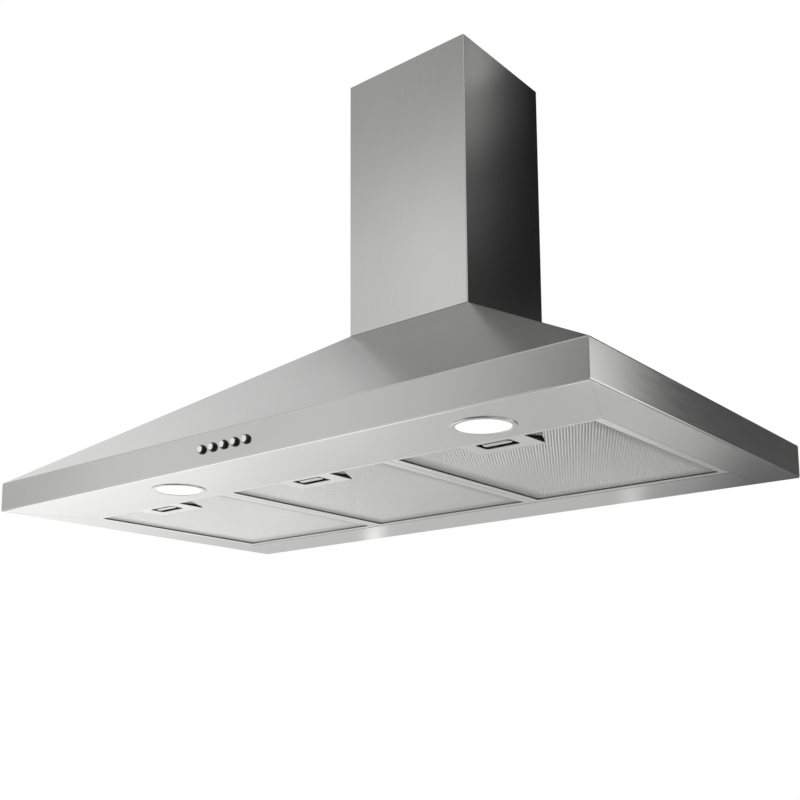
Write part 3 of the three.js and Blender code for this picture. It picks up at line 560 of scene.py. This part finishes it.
def latchBox():
    half = filterSizes["plateWidth"] / 2
    wall = filterSizes["wall"]
    front = filterLow.y
    foot = filterLow.z
    height = filterSizes["plateHeight"]
    tray = addBox(
        "latch box", (-half, windowLow.y, foot), (half, front + filterSizes["plateDepth"], foot + height))
    pick(tray, "FACE", lambda middle, normal: normal.z > facing)
    bpy.ops.mesh.inset(thickness=wall)
    bpy.ops.mesh.extrude_region_move(TRANSFORM_OT_translate={"value": (0, 0, wall - height)})
    finishEdit()
    pick(tray, "EDGE", lambda middle, along: middle.z < foot + sameSpot and abs(middle.x) > half - sameSpot)
    bpy.ops.mesh.bevel(offset=filterSizes["edgeRadius"], segments=2, affect="EDGES")
    finishEdit()
    slotHalf = filterSizes["slotWidth"] / 2
    slotFront = front + filterSizes["slotFromFront"]
    slot = addBox(
        "latch slot", (-slotHalf, slotFront, foot - filterSizes["slotBelow"]),
        (slotHalf, slotFront + filterSizes["slotDepth"], foot + wall + filterSizes["slotAbove"]))
    pick(slot, "EDGE", lambda middle, along: abs(along.z) > facing)
    bpy.ops.mesh.bevel(offset=filterSizes["slotRadius"], segments=6, affect="EDGES")
    finishEdit()
    cutWith(tray, slot)
    tray.data.materials.append(aluminium)
    tray.data.materials.append(blackPlastic)
    for face in tray.data.polygons:  # the guide behind the plate is a dark moulding; its black also stands in for the deep shade in the slot and beside the plate, painted shade
        face.material_index = 0 if face.center.z < foot + filterSizes["edgeRadius"] + sameSpot else 1
    return tray


def hingeTabs():
    under, over = filterSizes["tabHeights"]
    half = filterSizes["tabHalfWidth"]
    tabs = []
    for place in (-filterSizes["tabPlace"], filterSizes["tabPlace"]):
        tab = addBox(
            "hinge tab", (place - half, filterRear - filterSizes["wall"], filterLow.z + under),
            (place + half, filterHigh.y, filterLow.z + over))
        pick(tab, "EDGE", lambda middle, along: abs(along.z) > facing and middle.y > filterRear)
        bpy.ops.mesh.bevel(offset=filterSizes["tabCorner"], segments=4, affect="EDGES")
        finishEdit()
        tabs.append(tab)
    return tabs


rimPiece = foldedRim()
rimPiece.data.materials.append(aluminium)
framePiece = joined("filter_rim", [rimPiece, latchBox(), *hingeTabs()])
for i in range(1, 4):
    rim = copyTo(framePiece, f"filter_rim_{i}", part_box(f"filter_frame_{i}")[0] - filterLow)
    finishPiece(smooth(rim, 30), f"filter_{i}", "aluminium", f"filter_frame_{i}")
bpy.data.objects.remove(framePiece)


def drawnMesh():
    sizes = filterSizes
    pitch = sizes["cellPitch"]
    radius = pitch / math.sqrt(3)
    grip = sizes["lipSheet"] + sizes["meshPlay"]
    low = filterLow + Vector((grip, grip, 0))
    high = Vector((filterHigh.x - grip, filterRear - grip, 0))
    floor = filterLow.z + sizes["meshHeight"]
    deselectAll()
    bpy.ops.mesh.primitive_circle_add(
        vertices=6, radius=radius, fill_type="NGON", location=(low.x, low.y, floor))
    cell = named("mesh cell")
    pick(cell, "FACE", lambda middle, normal: True)
    bpy.ops.mesh.inset(thickness=radius * (1 - sizes["holeShare"]) * math.cos(math.pi / 6))
    bpy.ops.transform.translate(value=(0, 0, sizes["strandRise"]))
    bpy.ops.mesh.delete(type="FACE")
    finishEdit()
    twin = copyTo(cell, "mesh cell b", (pitch / 2, radius * 1.5, 0))  # the next row of a honeycomb
    cell = joined("mesh layer", [cell, twin])
    columns = math.ceil((high.x - low.x) / pitch) + 1
    rows = math.ceil((high.y - low.y) / (3 * radius)) + 1
    modify(cell, "ARRAY", count=columns, use_relative_offset=False, use_constant_offset=True,
           constant_offset_displace=(pitch, 0, 0))
    modify(cell, "ARRAY", count=rows, use_relative_offset=False, use_constant_offset=True,
           constant_offset_displace=(0, 3 * radius, 0))
    for place, normal in ((low, (-1, 0, 0)), (high, (1, 0, 0)), (low, (0, -1, 0)), (high, (0, 1, 0))):
        workOn(cell)
        bpy.ops.object.mode_set(mode="EDIT")
        bpy.ops.mesh.select_all(action="SELECT")
        bpy.ops.mesh.bisect(plane_co=place, plane_no=normal, clear_outer=True)
        finishEdit()
    workOn(cell)
    bpy.ops.object.mode_set(mode="EDIT")
    bpy.ops.mesh.select_all(action="SELECT")
    bpy.ops.mesh.remove_doubles(threshold=sizes["weld"])
    bpy.ops.mesh.select_all(action="SELECT")
    bpy.ops.mesh.flip_normals()
    finishEdit()
    back = copyTo(cell, "mesh back", (pitch / 4, 0, sizes["layerGap"]))  # a quarter of a cell over
    pack = joined("mesh pack", [cell, back])
    half = sizes["plateWidth"] / 2
    boxEnd = filterLow.y + sizes["plateDepth"] - sizes["wall"] / 2
    slope = sizes["pocketWidth"] / (1 - sizes["pocketWidest"])

    def alongBox(place):  # 0 at the front of the latch box, 1 at its rear end
        return (place.y - filterLow.y) / (boxEnd - filterLow.y)

    def isCutAway(middle, normal):  # the box, and beside it a three-cornered pocket
        along = alongBox(middle)
        pocket = min(sizes["pocketWidth"] * along / sizes["pocketWidest"], slope * (1 - along))
        return along < 1 and -half < middle.x < half + pocket
    pick(pack, "FACE", isCutAway)
    bpy.ops.mesh.delete(type="FACE")
    finishEdit()
    # painted shade: a point attribute, 0 where the mesh takes the darker grey along the window's edges and in
    # front of the pocket, 1 where it keeps its own colour
    rightStart, rightRise = sizes["paintedShadeRight"]
    rearStart, rearRise = sizes["paintedShadeRear"]
    clearOfPaintedShade = pack.data.attributes.new("clear_of_painted_shade", "FLOAT", "POINT")
    for vertex, share in zip(pack.data.vertices, clearOfPaintedShade.data):
        x, y = vertex.co.x, vertex.co.y
        inside = min(
            x - windowLow.x, rightStart + rightRise * (windowHigh.x - x),
            rearStart + rearRise * (windowHigh.y - y))
        if 0 < x - half < slope * (1 - alongBox(vertex.co)):  # the painted shade in front of the pocket
            inside = 0
        share.value = min(max(inside / sizes["paintedShadeEdge"], 0), 1)
    return pack


meshPiece = drawnMesh()
print("mesh drawn:", len(meshPiece.data.polygons), "faces")
for i in range(1, 4):
    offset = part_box(f"filter_mesh_{i}")[0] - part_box("filter_mesh_2")[0]
    mesh = copyTo(meshPiece, f"filter_pack_{i}", offset)
    mesh.data.materials.append(meshAluminium)
    finishPiece(mesh, f"filter_{i}", "aluminium", f"filter_mesh_{i}")
bpy.data.objects.remove(meshPiece)

latchSizes = {
    "tabDepth": 0.0082,
    "tabEdge": 0.0005,
    "tabCorner": 0.0038,
    "boltThickness": 0.0012,
}


def slidingLatch():
    low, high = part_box("filter_latch_2")
    bolt = addBox("bolt", (low.x, low.y, high.z - latchSizes["boltThickness"]), high)
    tab = addBox("tab", (low.x, high.y - latchSizes["tabDepth"], low.z), high)
    pick(tab, "EDGE", lambda middle, along: abs(along.z) > facing)
    bpy.ops.mesh.bevel(offset=latchSizes["tabCorner"], segments=6, affect="EDGES")
    finishEdit()
    pick(tab, "EDGE", lambda middle, along: middle.z < low.z + sameSpot)
    bpy.ops.mesh.bevel(offset=latchSizes["tabEdge"], segments=3, affect="EDGES")
    finishEdit()
    tab.data.materials.append(steelAcross)
    bolt.data.materials.append(galvanised)
    return joined("latch", [tab, bolt])


latchPiece = slidingLatch()
for i in range(1, 4):
    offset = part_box(f"filter_latch_{i}")[0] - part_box("filter_latch_2")[0]
    latch = copyTo(latchPiece, f"latch_slide_{i}", offset)
    finishPiece(smooth(latch, 30), f"latch_{i}", "stainless", f"filter_latch_{i}")
bpy.data.objects.remove(latchPiece)
print("filters built")


# push buttons: a glossy black bullet with a bright chrome face, and its tail in the switch housing

buttonSizes = {
    "collar": 0.003,
    # how far each ring stands out of the band, and its radius
    "profile": [(0.0012, 0.0052), (0.0022, 0.0051), (0.0030, 0.0048), (0.0036, 0.0044), (0.0039, 0.0040)],
    "faceRadius": 0.0038,
    "faceSeat": 0.0004,
    "faceFront": 0.0042,
    "faceEdge": 0.0002,
    "tailRadius": 0.0022,
}


def pushButton():
    low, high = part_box("button_3")
    middle = (low + high) / 2
    face = hoodLow.y

    def at(out):
        return Vector((middle.x, face - out, middle.z))
    out, radius = buttonSizes["profile"][0]
    body = addRod("button body", radius, at(-buttonSizes["collar"]), at(out))
    pick(body, "FACE", lambda place, normal: normal.y < -facing)
    for nextOut, nextRadius in buttonSizes["profile"][1:]:
        bpy.ops.mesh.extrude_region_move(TRANSFORM_OT_translate={"value": (0, out - nextOut, 0)})
        share = nextRadius / radius
        bpy.ops.transform.resize(value=(share, 1, share))
        out, radius = nextOut, nextRadius
    finishEdit()
    body.data.materials.append(blackAcrylic)
    seat = at(out - buttonSizes["faceSeat"])
    cap = addRod("button face", buttonSizes["faceRadius"], seat, at(buttonSizes["faceFront"]))
    pick(cap, "EDGE", lambda place, along: place.y < at(out).y and abs(along.y) < crossing)
    bpy.ops.mesh.bevel(offset=buttonSizes["faceEdge"], segments=3, affect="EDGES")
    finishEdit()
    cap.data.materials.append(chrome)
    tailEnd = (middle.x, high.y, middle.z)
    tail = addRod("tail", buttonSizes["tailRadius"], at(-buttonSizes["collar"]), tailEnd, 24)
    tail.data.materials.append(blackAcrylic)
    return joined("button", [body, cap, tail])


buttonPiece = pushButton()
for i in range(1, 6):
    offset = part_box(f"button_{i}")[0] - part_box("button_3")[0]
    button = copyTo(buttonPiece, f"push_button_{i}", offset)
    finishPiece(smooth(button, 40), f"button_{i}", "chrome", f"button_{i}")
bpy.data.objects.remove(buttonPiece)
print("buttons built")


# lamps: a low steel ring with a sleeve through the sheet, and the lit glass in it

lampSizes = {
    "ringDrop": 0.0011,
    "ringEdge": 0.0007,
    "boreEdge": 0.0003,
    "sleeveRadius": 0.0288,
    "glassRadius": 0.0282,
    "play": 0.0002,
    "glassRecess": 0.0008,
    "glassEdge": 0.0008,
    "glassThickness": 0.0024,
    "ringTolerance": 0.0002,
}


def isRound(radius, height, centre):  # a test for pick: the edges of one level ring
    def test(middle, along):
        away = math.hypot(middle.x - centre.x, middle.y - centre.y)
        onRing = abs(away - radius) < lampSizes["ringTolerance"]
        return onRing and abs(middle.z - height) < sameSpot and abs(along.z) < crossing
    return test


def lampRing():
    low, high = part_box("lamp_ring_right")
    centre = (low + high) / 2
    radius = (high.x - low.x) / 2
    foot = hoodLow.z - lampSizes["ringDrop"]
    bore = lampSizes["glassRadius"] + lampSizes["play"]
    ring = addRod("lamp ring", radius, (centre.x, centre.y, foot), (centre.x, centre.y, hoodLow.z), 96)
    for outward, reach in ((-1, bore), (1, lampSizes["sleeveRadius"])):
        pick(ring, "FACE", lambda middle, normal: normal.z * outward > facing)
        bpy.ops.mesh.inset(thickness=radius - reach)
        start = foot if outward < 0 else hoodLow.z
        bpy.ops.mesh.extrude_region_move(TRANSFORM_OT_translate={"value": (0, 0, high.z - start)})
        bpy.ops.mesh.delete(type="FACE")
        finishEdit()
    pick(ring, "EDGE", lambda middle, along: abs(middle.z - high.z) < sameSpot and abs(along.z) < crossing)
    bpy.ops.mesh.bridge_edge_loops()
    finishEdit()
    for edge, width in ((radius, lampSizes["ringEdge"]), (bore, lampSizes["boreEdge"])):
        pick(ring, "EDGE", isRound(edge, foot, centre))
        bpy.ops.mesh.bevel(offset=width, segments=4, affect="EDGES")
        finishEdit()
    ring.data.materials.append(steelAcross)
    return smooth(ring, 40)


def lampGlass():
    centre = lampPlaces[1]
    foot = hoodLow.z - lampSizes["ringDrop"] + lampSizes["glassRecess"]
    top = foot + lampSizes["glassThickness"]
    radius = lampSizes["glassRadius"]
    glass = addRod("lamp glass", radius, (centre.x, centre.y, foot), (centre.x, centre.y, top), 96)
    pick(glass, "EDGE", isRound(radius, foot, centre))
    bpy.ops.mesh.bevel(offset=lampSizes["glassEdge"], segments=4, affect="EDGES")
    finishEdit()
    glass.data.materials.append(opalGlass)
    return smooth(glass, 40)


for kind, slot, master in (("ring", "stainless", lampRing()), ("lens", "frosted_lens", lampGlass())):
    for side, place in zip(("left", "right"), lampPlaces):
        twin = copyTo(master, f"lamp_{kind}_{side}_dressed", place - lampPlaces[1])
        finishPiece(twin, "canopy", slot, f"lamp_{kind}_{side}")
    bpy.data.objects.remove(master)
print("lamps built")


# the frame nodes that stay get their finish

keptFinishes = {
    galvanised: ["rear_panel", "upper_bracket", "blower_scroll_left", "blower_scroll_right",
                 "blower_top_plate", "flap_rod", "impeller", "motor_bracket", "capacitor_clip"],
    aluminium: ["flap_front", "flap_rear", "lamp_body_left", "lamp_body_right"],
    chrome: ["impeller_shaft"],
    steelUpright: ["lower_chimney", "upper_chimney"],
    blackPlastic: ["duct_collar", "junction_box", "junction_lid", "cable_gland", "switch_housing"],
    greyPlastic: ["capacitor"],
    greenBoard: ["control_board"],
    enamel: ["motor"],
}
for material, nodes in keptFinishes.items():
    for node in nodes:
        cad[node].data.materials.clear()
        cad[node].data.materials.append(material)


# studio: a pale floor, a white world, and two graded cards that only glossy reflections see

studio = {
    "floorHeight": -1.5,
    "floorRadius": 3.0,
    "paperTo": 1.6,
    "whiteFrom": 2.8,
    "paperWhite": 0.45,
    "fill": 0.9,
    "floorAcross": [(-2.5, 2.1), (-1.1, 2.1), (-0.8, 1.45), (-0.5, 0.6), (-0.1, 0.36), (0.3, 0.35),
                    (2.5, 0.35)],
    "floorFront": [(-2.5, 0.8), (-1.1, 0.85), (-0.8, 0.9), (-0.5, 0.75), (-0.1, 0.5), (0.3, 0.4),
                   (2.5, 0.4)],
    "floorFrontEdge": (-0.5, -0.38),
    "cardGain": 1.17,
    "sparks": [(-0.07, -0.335, 0.045, 1.3), (-0.7, -0.33, 0.05, 1.8)],  # x, z, radius, brightness
    "sparkSpacing": 0.01,
}
# each row of a card: a height, then places across with their brightness
frontCard = {
    "y": -2.0, "x": (-5.0, 3.6), "z": (-1.2, 4.2),
    "rows": [
        (-0.6, [(-5.0, 0.56), (-2.75, 0.66), (-2.15, 1.02), (-1.5, 0.94), (-1.1, 0.94), (-0.65, 0.7),
                (-0.3, 0.3), (1.5, 0.25), (3.6, 0.55)]),
        (0.3, [(-5.0, 0.5), (-2.75, 0.58), (-2.15, 0.9), (-1.5, 0.82), (-1.1, 0.82), (-0.65, 0.58),
               (-0.3, 0.22), (1.5, 0.2), (3.6, 0.55)]),
        (1.05, [(-5.0, 0.5), (-1.65, 0.74), (-1.25, 0.84), (-0.5, 0.6), (3.6, 0.5)]),
        (1.9, [(-5.0, 0.45), (-1.6, 0.48), (-1.2, 0.42), (3.6, 0.4)]),
        (3.0, [(-5.0, 0.45), (3.6, 0.4)]),
    ],
}
backCard = {
    "y": 0.6, "x": (-3.2, 2.4), "z": (-1.0, 6.0),
    "rows": [
        (-0.8, [(-3.2, 1.2), (-2.0, 1.2), (-1.32, 1.1), (-0.95, 0.85), (-0.75, 2.2), (-0.55, 0.7),
                (-0.3, 0.6), (-0.12, 3.2), (0.02, 1.9), (0.2, 0.35), (0.75, 0.28), (0.9, 1.2),
                (2.4, 1.2)]),
        (-0.66, [(-3.2, 1.2), (-2.0, 1.2), (-1.32, 1.1), (-0.85, 0.77), (-0.22, 0.5), (0.1, 0.4),
                 (0.3, 0.28), (0.75, 0.28), (0.9, 1.2), (2.4, 1.2)]),
        (-0.56, [(-3.2, 1.2), (-2.0, 1.2), (-1.32, 1.1), (-0.85, 0.77), (-0.22, 0.54), (0.1, 0.52),
                 (0.3, 0.28), (0.75, 0.28), (0.9, 1.2), (2.4, 1.2)]),
        (-0.43, [(-3.2, 1.05), (-0.95, 0.66), (-0.5, 0.6), (-0.14, 0.58), (0.06, 0.5), (0.16, 0.26),
                 (0.5, 0.12), (0.75, 0.2), (0.9, 1.1), (2.4, 1.1)]),
        (-0.34, [(-3.2, 0.95), (-0.95, 0.6), (-0.5, 0.6), (-0.14, 0.58), (0.06, 0.27), (0.16, 0.12),
                 (0.5, 0.08), (0.75, 0.2), (0.9, 1.0), (2.4, 1.0)]),
        (-0.12, [(-3.2, 0.9), (-1.4, 0.6), (-0.5, 0.12), (0.6, 0.09), (0.72, 0.1), (0.83, 0.08),
                 (0.93, 0.08), (1.0, 0.75), (1.1, 1.6), (2.4, 1.3)]),
        (0.25, [(-3.2, 0.9), (-2.0, 0.74), (-1.3, 0.56), (-0.9, 0.2), (-0.5, 0.03), (0.7, 0.06),
                (0.85, 0.05), (0.93, 0.02), (1.0, 0.66), (1.1, 1.2), (2.4, 1.2)]),
        (0.45, [(-3.2, 0.88), (-2.0, 0.74), (-1.3, 0.56), (-0.9, 0.2), (-0.5, 0.03), (0.5, 0.02),
                (0.66, 0.05), (2.4, 0.05)]),
        (0.7, [(-3.2, 0.87), (-2.05, 0.76), (-1.2, 0.56), (-0.85, 0.2), (-0.5, 0.03), (0.48, 0.015),
               (0.56, 0.045), (0.64, 0.12), (0.8, 0.12), (1.1, 0.05), (2.4, 0.05)]),
        (0.9, [(-3.2, 0.86), (-2.1, 0.78), (-1.1, 0.56), (-0.8, 0.2), (-0.5, 0.03), (0.46, 0.0),
               (0.54, 0.07), (0.58, 0.15), (0.62, 0.29), (0.67, 0.27), (0.74, 0.27), (0.8, 0.28),
               (1.1, 0.05), (2.4, 0.05)]),
        (0.97, [(-3.2, 0.86), (-2.1, 0.78), (-1.1, 0.56), (-0.8, 0.2), (-0.5, 0.03), (0.46, 0.0),
                (0.54, 0.08), (0.6, 0.42), (0.64, 0.44), (0.69, 0.28), (0.8, 0.28), (1.1, 0.05),
                (2.4, 0.05)]),
        (1.4, [(-3.2, 0.84), (-1.0, 0.5), (-0.5, 0.03), (0.5, 0.0), (0.6, 0.1), (0.8, 0.1), (1.1, 0.0),
               (2.4, 0.0)]),
        (3.0, [(-3.2, 0.8), (-0.8, 0.5), (0.0, 0.1), (2.4, 0.05)]),
    ],
}


def directRays(tree):  # 1 for camera, glossy and transmission rays, 0 for the rest
    rays = addNode(tree, "ShaderNodeLightPath").outputs
    seen = addNode(
        tree, "ShaderNodeMath", {"operation": "ADD"}, {0: rays["Is Camera Ray"], 1: rays["Is Glossy Ray"]})
    return addNode(tree, "ShaderNodeMath", {"operation": "ADD", "use_clamp": True},
                   {0: seen.outputs[0], 1: rays["Is Transmission Ray"]}).outputs[0]


def makeWorld():
    world = bpy.data.worlds.new("pale studio")
    bpy.context.scene.world = world
    world.use_nodes = True
    tree = world.node_tree
    tree.nodes.clear()
    fill = addNode(tree, "ShaderNodeBackground", {"Color": linear("#ffffff"), "Strength": studio["fill"]})
    white = addNode(tree, "ShaderNodeBackground", {"Color": linear("#ffffff"), "Strength": 1})
    both = addNode(tree, "ShaderNodeMixShader", links={
        "Fac": directRays(tree), 1: fill.outputs["Background"], 2: white.outputs["Background"]})
    addNode(tree, "ShaderNodeOutputWorld", links={"Surface": both.outputs["Shader"]})


def brightnessAcross(tree, across, stops):
    low, high = stops[0][0], stops[-1][0]
    share = addNode(tree, "ShaderNodeMapRange", {"From Min": low, "From Max": high}, {"Value": across})
    ramp = addNode(tree, "ShaderNodeValToRGB", links={"Fac": share.outputs["Result"]})
    curve = ramp.color_ramp
    while len(curve.elements) < len(stops):
        curve.elements.new(1)
    for element, (where, level) in zip(curve.elements, stops):
        element.position = (where - low) / (high - low)
        element.color = (level, level, level, 1)
    return ramp.outputs["Color"]


def makeFloor():
    deselectAll()
    bpy.ops.mesh.primitive_circle_add(
        vertices=96, radius=studio["floorRadius"], fill_type="NGON", location=(0, 0, studio["floorHeight"]))
    floor = named("studio_floor")
    material = bpy.data.materials.new("matt paper floor")
    material.use_nodes = True
    tree = material.node_tree
    tree.nodes.clear()
    place = addNode(tree, "ShaderNodeTexCoord").outputs["Object"]
    parts = addNode(tree, "ShaderNodeSeparateXYZ", links={"Vector": place})
    away = addNode(tree, "ShaderNodeVectorMath", {"operation": "LENGTH"}, {0: place}).outputs["Value"]

    # shown: matt paper below the hood that fades to plain white at the rim
    fade = addNode(
        tree, "ShaderNodeMapRange",
        {"From Min": studio["paperTo"], "From Max": studio["whiteFrom"],
         "To Min": studio["paperWhite"], "To Max": 1},
        {"Value": away}).outputs["Result"]
    share = addNode(
        tree, "ShaderNodeMath", {"operation": "MULTIPLY"}, {0: directRays(tree), 1: fade}).outputs[0]
    paper = addNode(tree, "ShaderNodeBsdfDiffuse", {"Color": linear("#efefee")})
    white = addNode(tree, "ShaderNodeEmission", {"Color": linear("#ffffff"), "Strength": 1})
    shown = addNode(tree, "ShaderNodeMixShader", links={
        "Fac": share, 1: paper.outputs["BSDF"], 2: white.outputs["Emission"]}).outputs["Shader"]

    # mirrored: bright to the left, more so below the hood than in front of it
    below = brightnessAcross(tree, parts.outputs["X"], studio["floorAcross"])
    front = brightnessAcross(tree, parts.outputs["X"], studio["floorFront"])
    far, near = studio["floorFrontEdge"]
    share = addNode(
        tree, "ShaderNodeMapRange", {"From Min": far, "From Max": near},
        {"Value": parts.outputs["Y"]}).outputs["Result"]
    level = addNode(tree, "ShaderNodeMix", {"data_type": "FLOAT"}, {0: share, 2: front, 3: below}).outputs[0]
    mirrored = addNode(tree, "ShaderNodeEmission", {"Color": linear("#ffffff")}, {"Strength": level})
    rays = addNode(tree, "ShaderNodeLightPath").outputs
    both = addNode(tree, "ShaderNodeMixShader", links={
        "Fac": rays["Is Glossy Ray"], 1: shown, 2: mirrored.outputs["Emission"]})

    # seen from below it is clear, so that a low camera still sees the hood
    behind = addNode(tree, "ShaderNodeNewGeometry").outputs["Backfacing"]
    clear = addNode(tree, "ShaderNodeBsdfTransparent")
    oneSided = addNode(tree, "ShaderNodeMixShader", links={
        "Fac": behind, 1: both.outputs["Shader"], 2: clear.outputs["BSDF"]})
    addNode(tree, "ShaderNodeOutputMaterial", links={"Surface": oneSided.outputs["Shader"]})
    floor.data.materials.append(material)


def makeCard(name, card):
    deselectAll()
    (left, right), (low, high) = card["x"], card["z"]
    bpy.ops.mesh.primitive_plane_add(size=1, rotation=(math.radians(90), 0, 0))
    bpy.context.active_object.scale = (right - left, high - low, 1)
    bpy.context.active_object.location = ((left + right) / 2, card["y"], (low + high) / 2)
    plane = named(name)
    material = bpy.data.materials.new(f"graded card, {name}")
    material.use_nodes = True
    tree = material.node_tree
    tree.nodes.clear()
    place = addNode(tree, "ShaderNodeTexCoord").outputs["Object"]
    parts = addNode(tree, "ShaderNodeSeparateXYZ", links={"Vector": place})
    lower, level = None, None
    for height, stops in card["rows"]:
        lit = [(where, share * studio["cardGain"]) for where, share in stops]
        row = brightnessAcross(tree, parts.outputs["X"], lit)
        if level is None:
            level = row
        else:
            share = addNode(
                tree, "ShaderNodeMapRange",
                {"interpolation_type": "SMOOTHSTEP", "From Min": lower, "From Max": height},
                {"Value": parts.outputs["Z"]}).outputs["Result"]
            level = addNode(
                tree, "ShaderNodeMix", {"data_type": "FLOAT"}, {0: share, 2: level, 3: row}).outputs[0]
        lower = height
    glow = addNode(tree, "ShaderNodeEmission", {"Color": linear("#ffffff")}, {"Strength": level})
    clear = addNode(tree, "ShaderNodeBsdfTransparent")
    rays = addNode(tree, "ShaderNodeLightPath")
    both = addNode(tree, "ShaderNodeMixShader", links={
        "Fac": rays.outputs["Is Glossy Ray"], 1: clear.outputs["BSDF"], 2: glow.outputs["Emission"]})
    addNode(tree, "ShaderNodeOutputMaterial", links={"Surface": both.outputs["Shader"]})
    plane.data.materials.append(material)
    plane.visible_camera = False
    plane.visible_shadow = False


def makeSpark(name, centre, radius, level):
    deselectAll()
    bpy.ops.mesh.primitive_circle_add(
        vertices=32, radius=radius, fill_type="NGON", location=centre, rotation=(math.radians(90), 0, 0))
    spark = named(name)
    material = bpy.data.materials.new(f"small light, {name}")
    material.use_nodes = True
    tree = material.node_tree
    tree.nodes.clear()
    glow = addNode(tree, "ShaderNodeEmission", {"Color": linear("#ffffff"), "Strength": level})
    clear = addNode(tree, "ShaderNodeBsdfTransparent")
    rays = addNode(tree, "ShaderNodeLightPath")
    place = addNode(tree, "ShaderNodeTexCoord").outputs["Object"]
    away = addNode(tree, "ShaderNodeVectorMath", {"operation": "DISTANCE", 1: centre}, {0: place})
    fade = addNode(
        tree, "ShaderNodeMapRange", {"interpolation_type": "SMOOTHSTEP", "From Min": radius, "From Max": 0},
        {"Value": away.outputs["Value"]})
    share = addNode(
        tree, "ShaderNodeMath", {"operation": "MULTIPLY"},
        {0: fade.outputs["Result"], 1: rays.outputs["Is Glossy Ray"]})
    both = addNode(tree, "ShaderNodeMixShader", links={
        "Fac": share.outputs[0], 1: clear.outputs["BSDF"], 2: glow.outputs["Emission"]})
    addNode(tree, "ShaderNodeOutputMaterial", links={"Surface": both.outputs["Shader"]})
    spark.data.materials.append(material)
    spark.visible_camera = False
    spark.visible_shadow = False


makeWorld()
makeFloor()
makeCard("front_card", frontCard)
makeCard("back_card", backCard)
for i, (x, z, radius, level) in enumerate(studio["sparks"]):
    makeSpark(f"spark_{i + 1}", (x, backCard["y"] - studio["sparkSpacing"] * (i + 1), z), radius, level)
print("studio lit")


# the camera stands in front of the right end, below the rim, and looks up a little
cameraPlace = {
    "lens": 50.334,
    "sensor": 36,
    "shift": (0.01505, 0.2),
    "place": (0.89785, -1.31511, -0.48065),
    "yaw": 39.448,
    "pitch": 8.506,
    "roll": -0.284,
}
cameraData = bpy.data.cameras.new("camera")
cameraData.lens = cameraPlace["lens"]
cameraData.sensor_width = cameraPlace["sensor"]
cameraData.shift_x, cameraData.shift_y = cameraPlace["shift"]
cameraData.clip_start = 0.01
camera = bpy.data.objects.new("camera", cameraData)
bpy.context.scene.collection.objects.link(camera)
aim = Euler((math.radians(90 + cameraPlace["pitch"]), 0, math.radians(cameraPlace["yaw"])))
camera.matrix_world = (
    Matrix.Translation(cameraPlace["place"]) @ aim.to_matrix().to_4x4()
    @ Matrix.Rotation(math.radians(cameraPlace["roll"]), 4, "Z"))
bpy.context.scene.camera = camera
bpy.context.scene.view_settings.view_transform = "Standard"
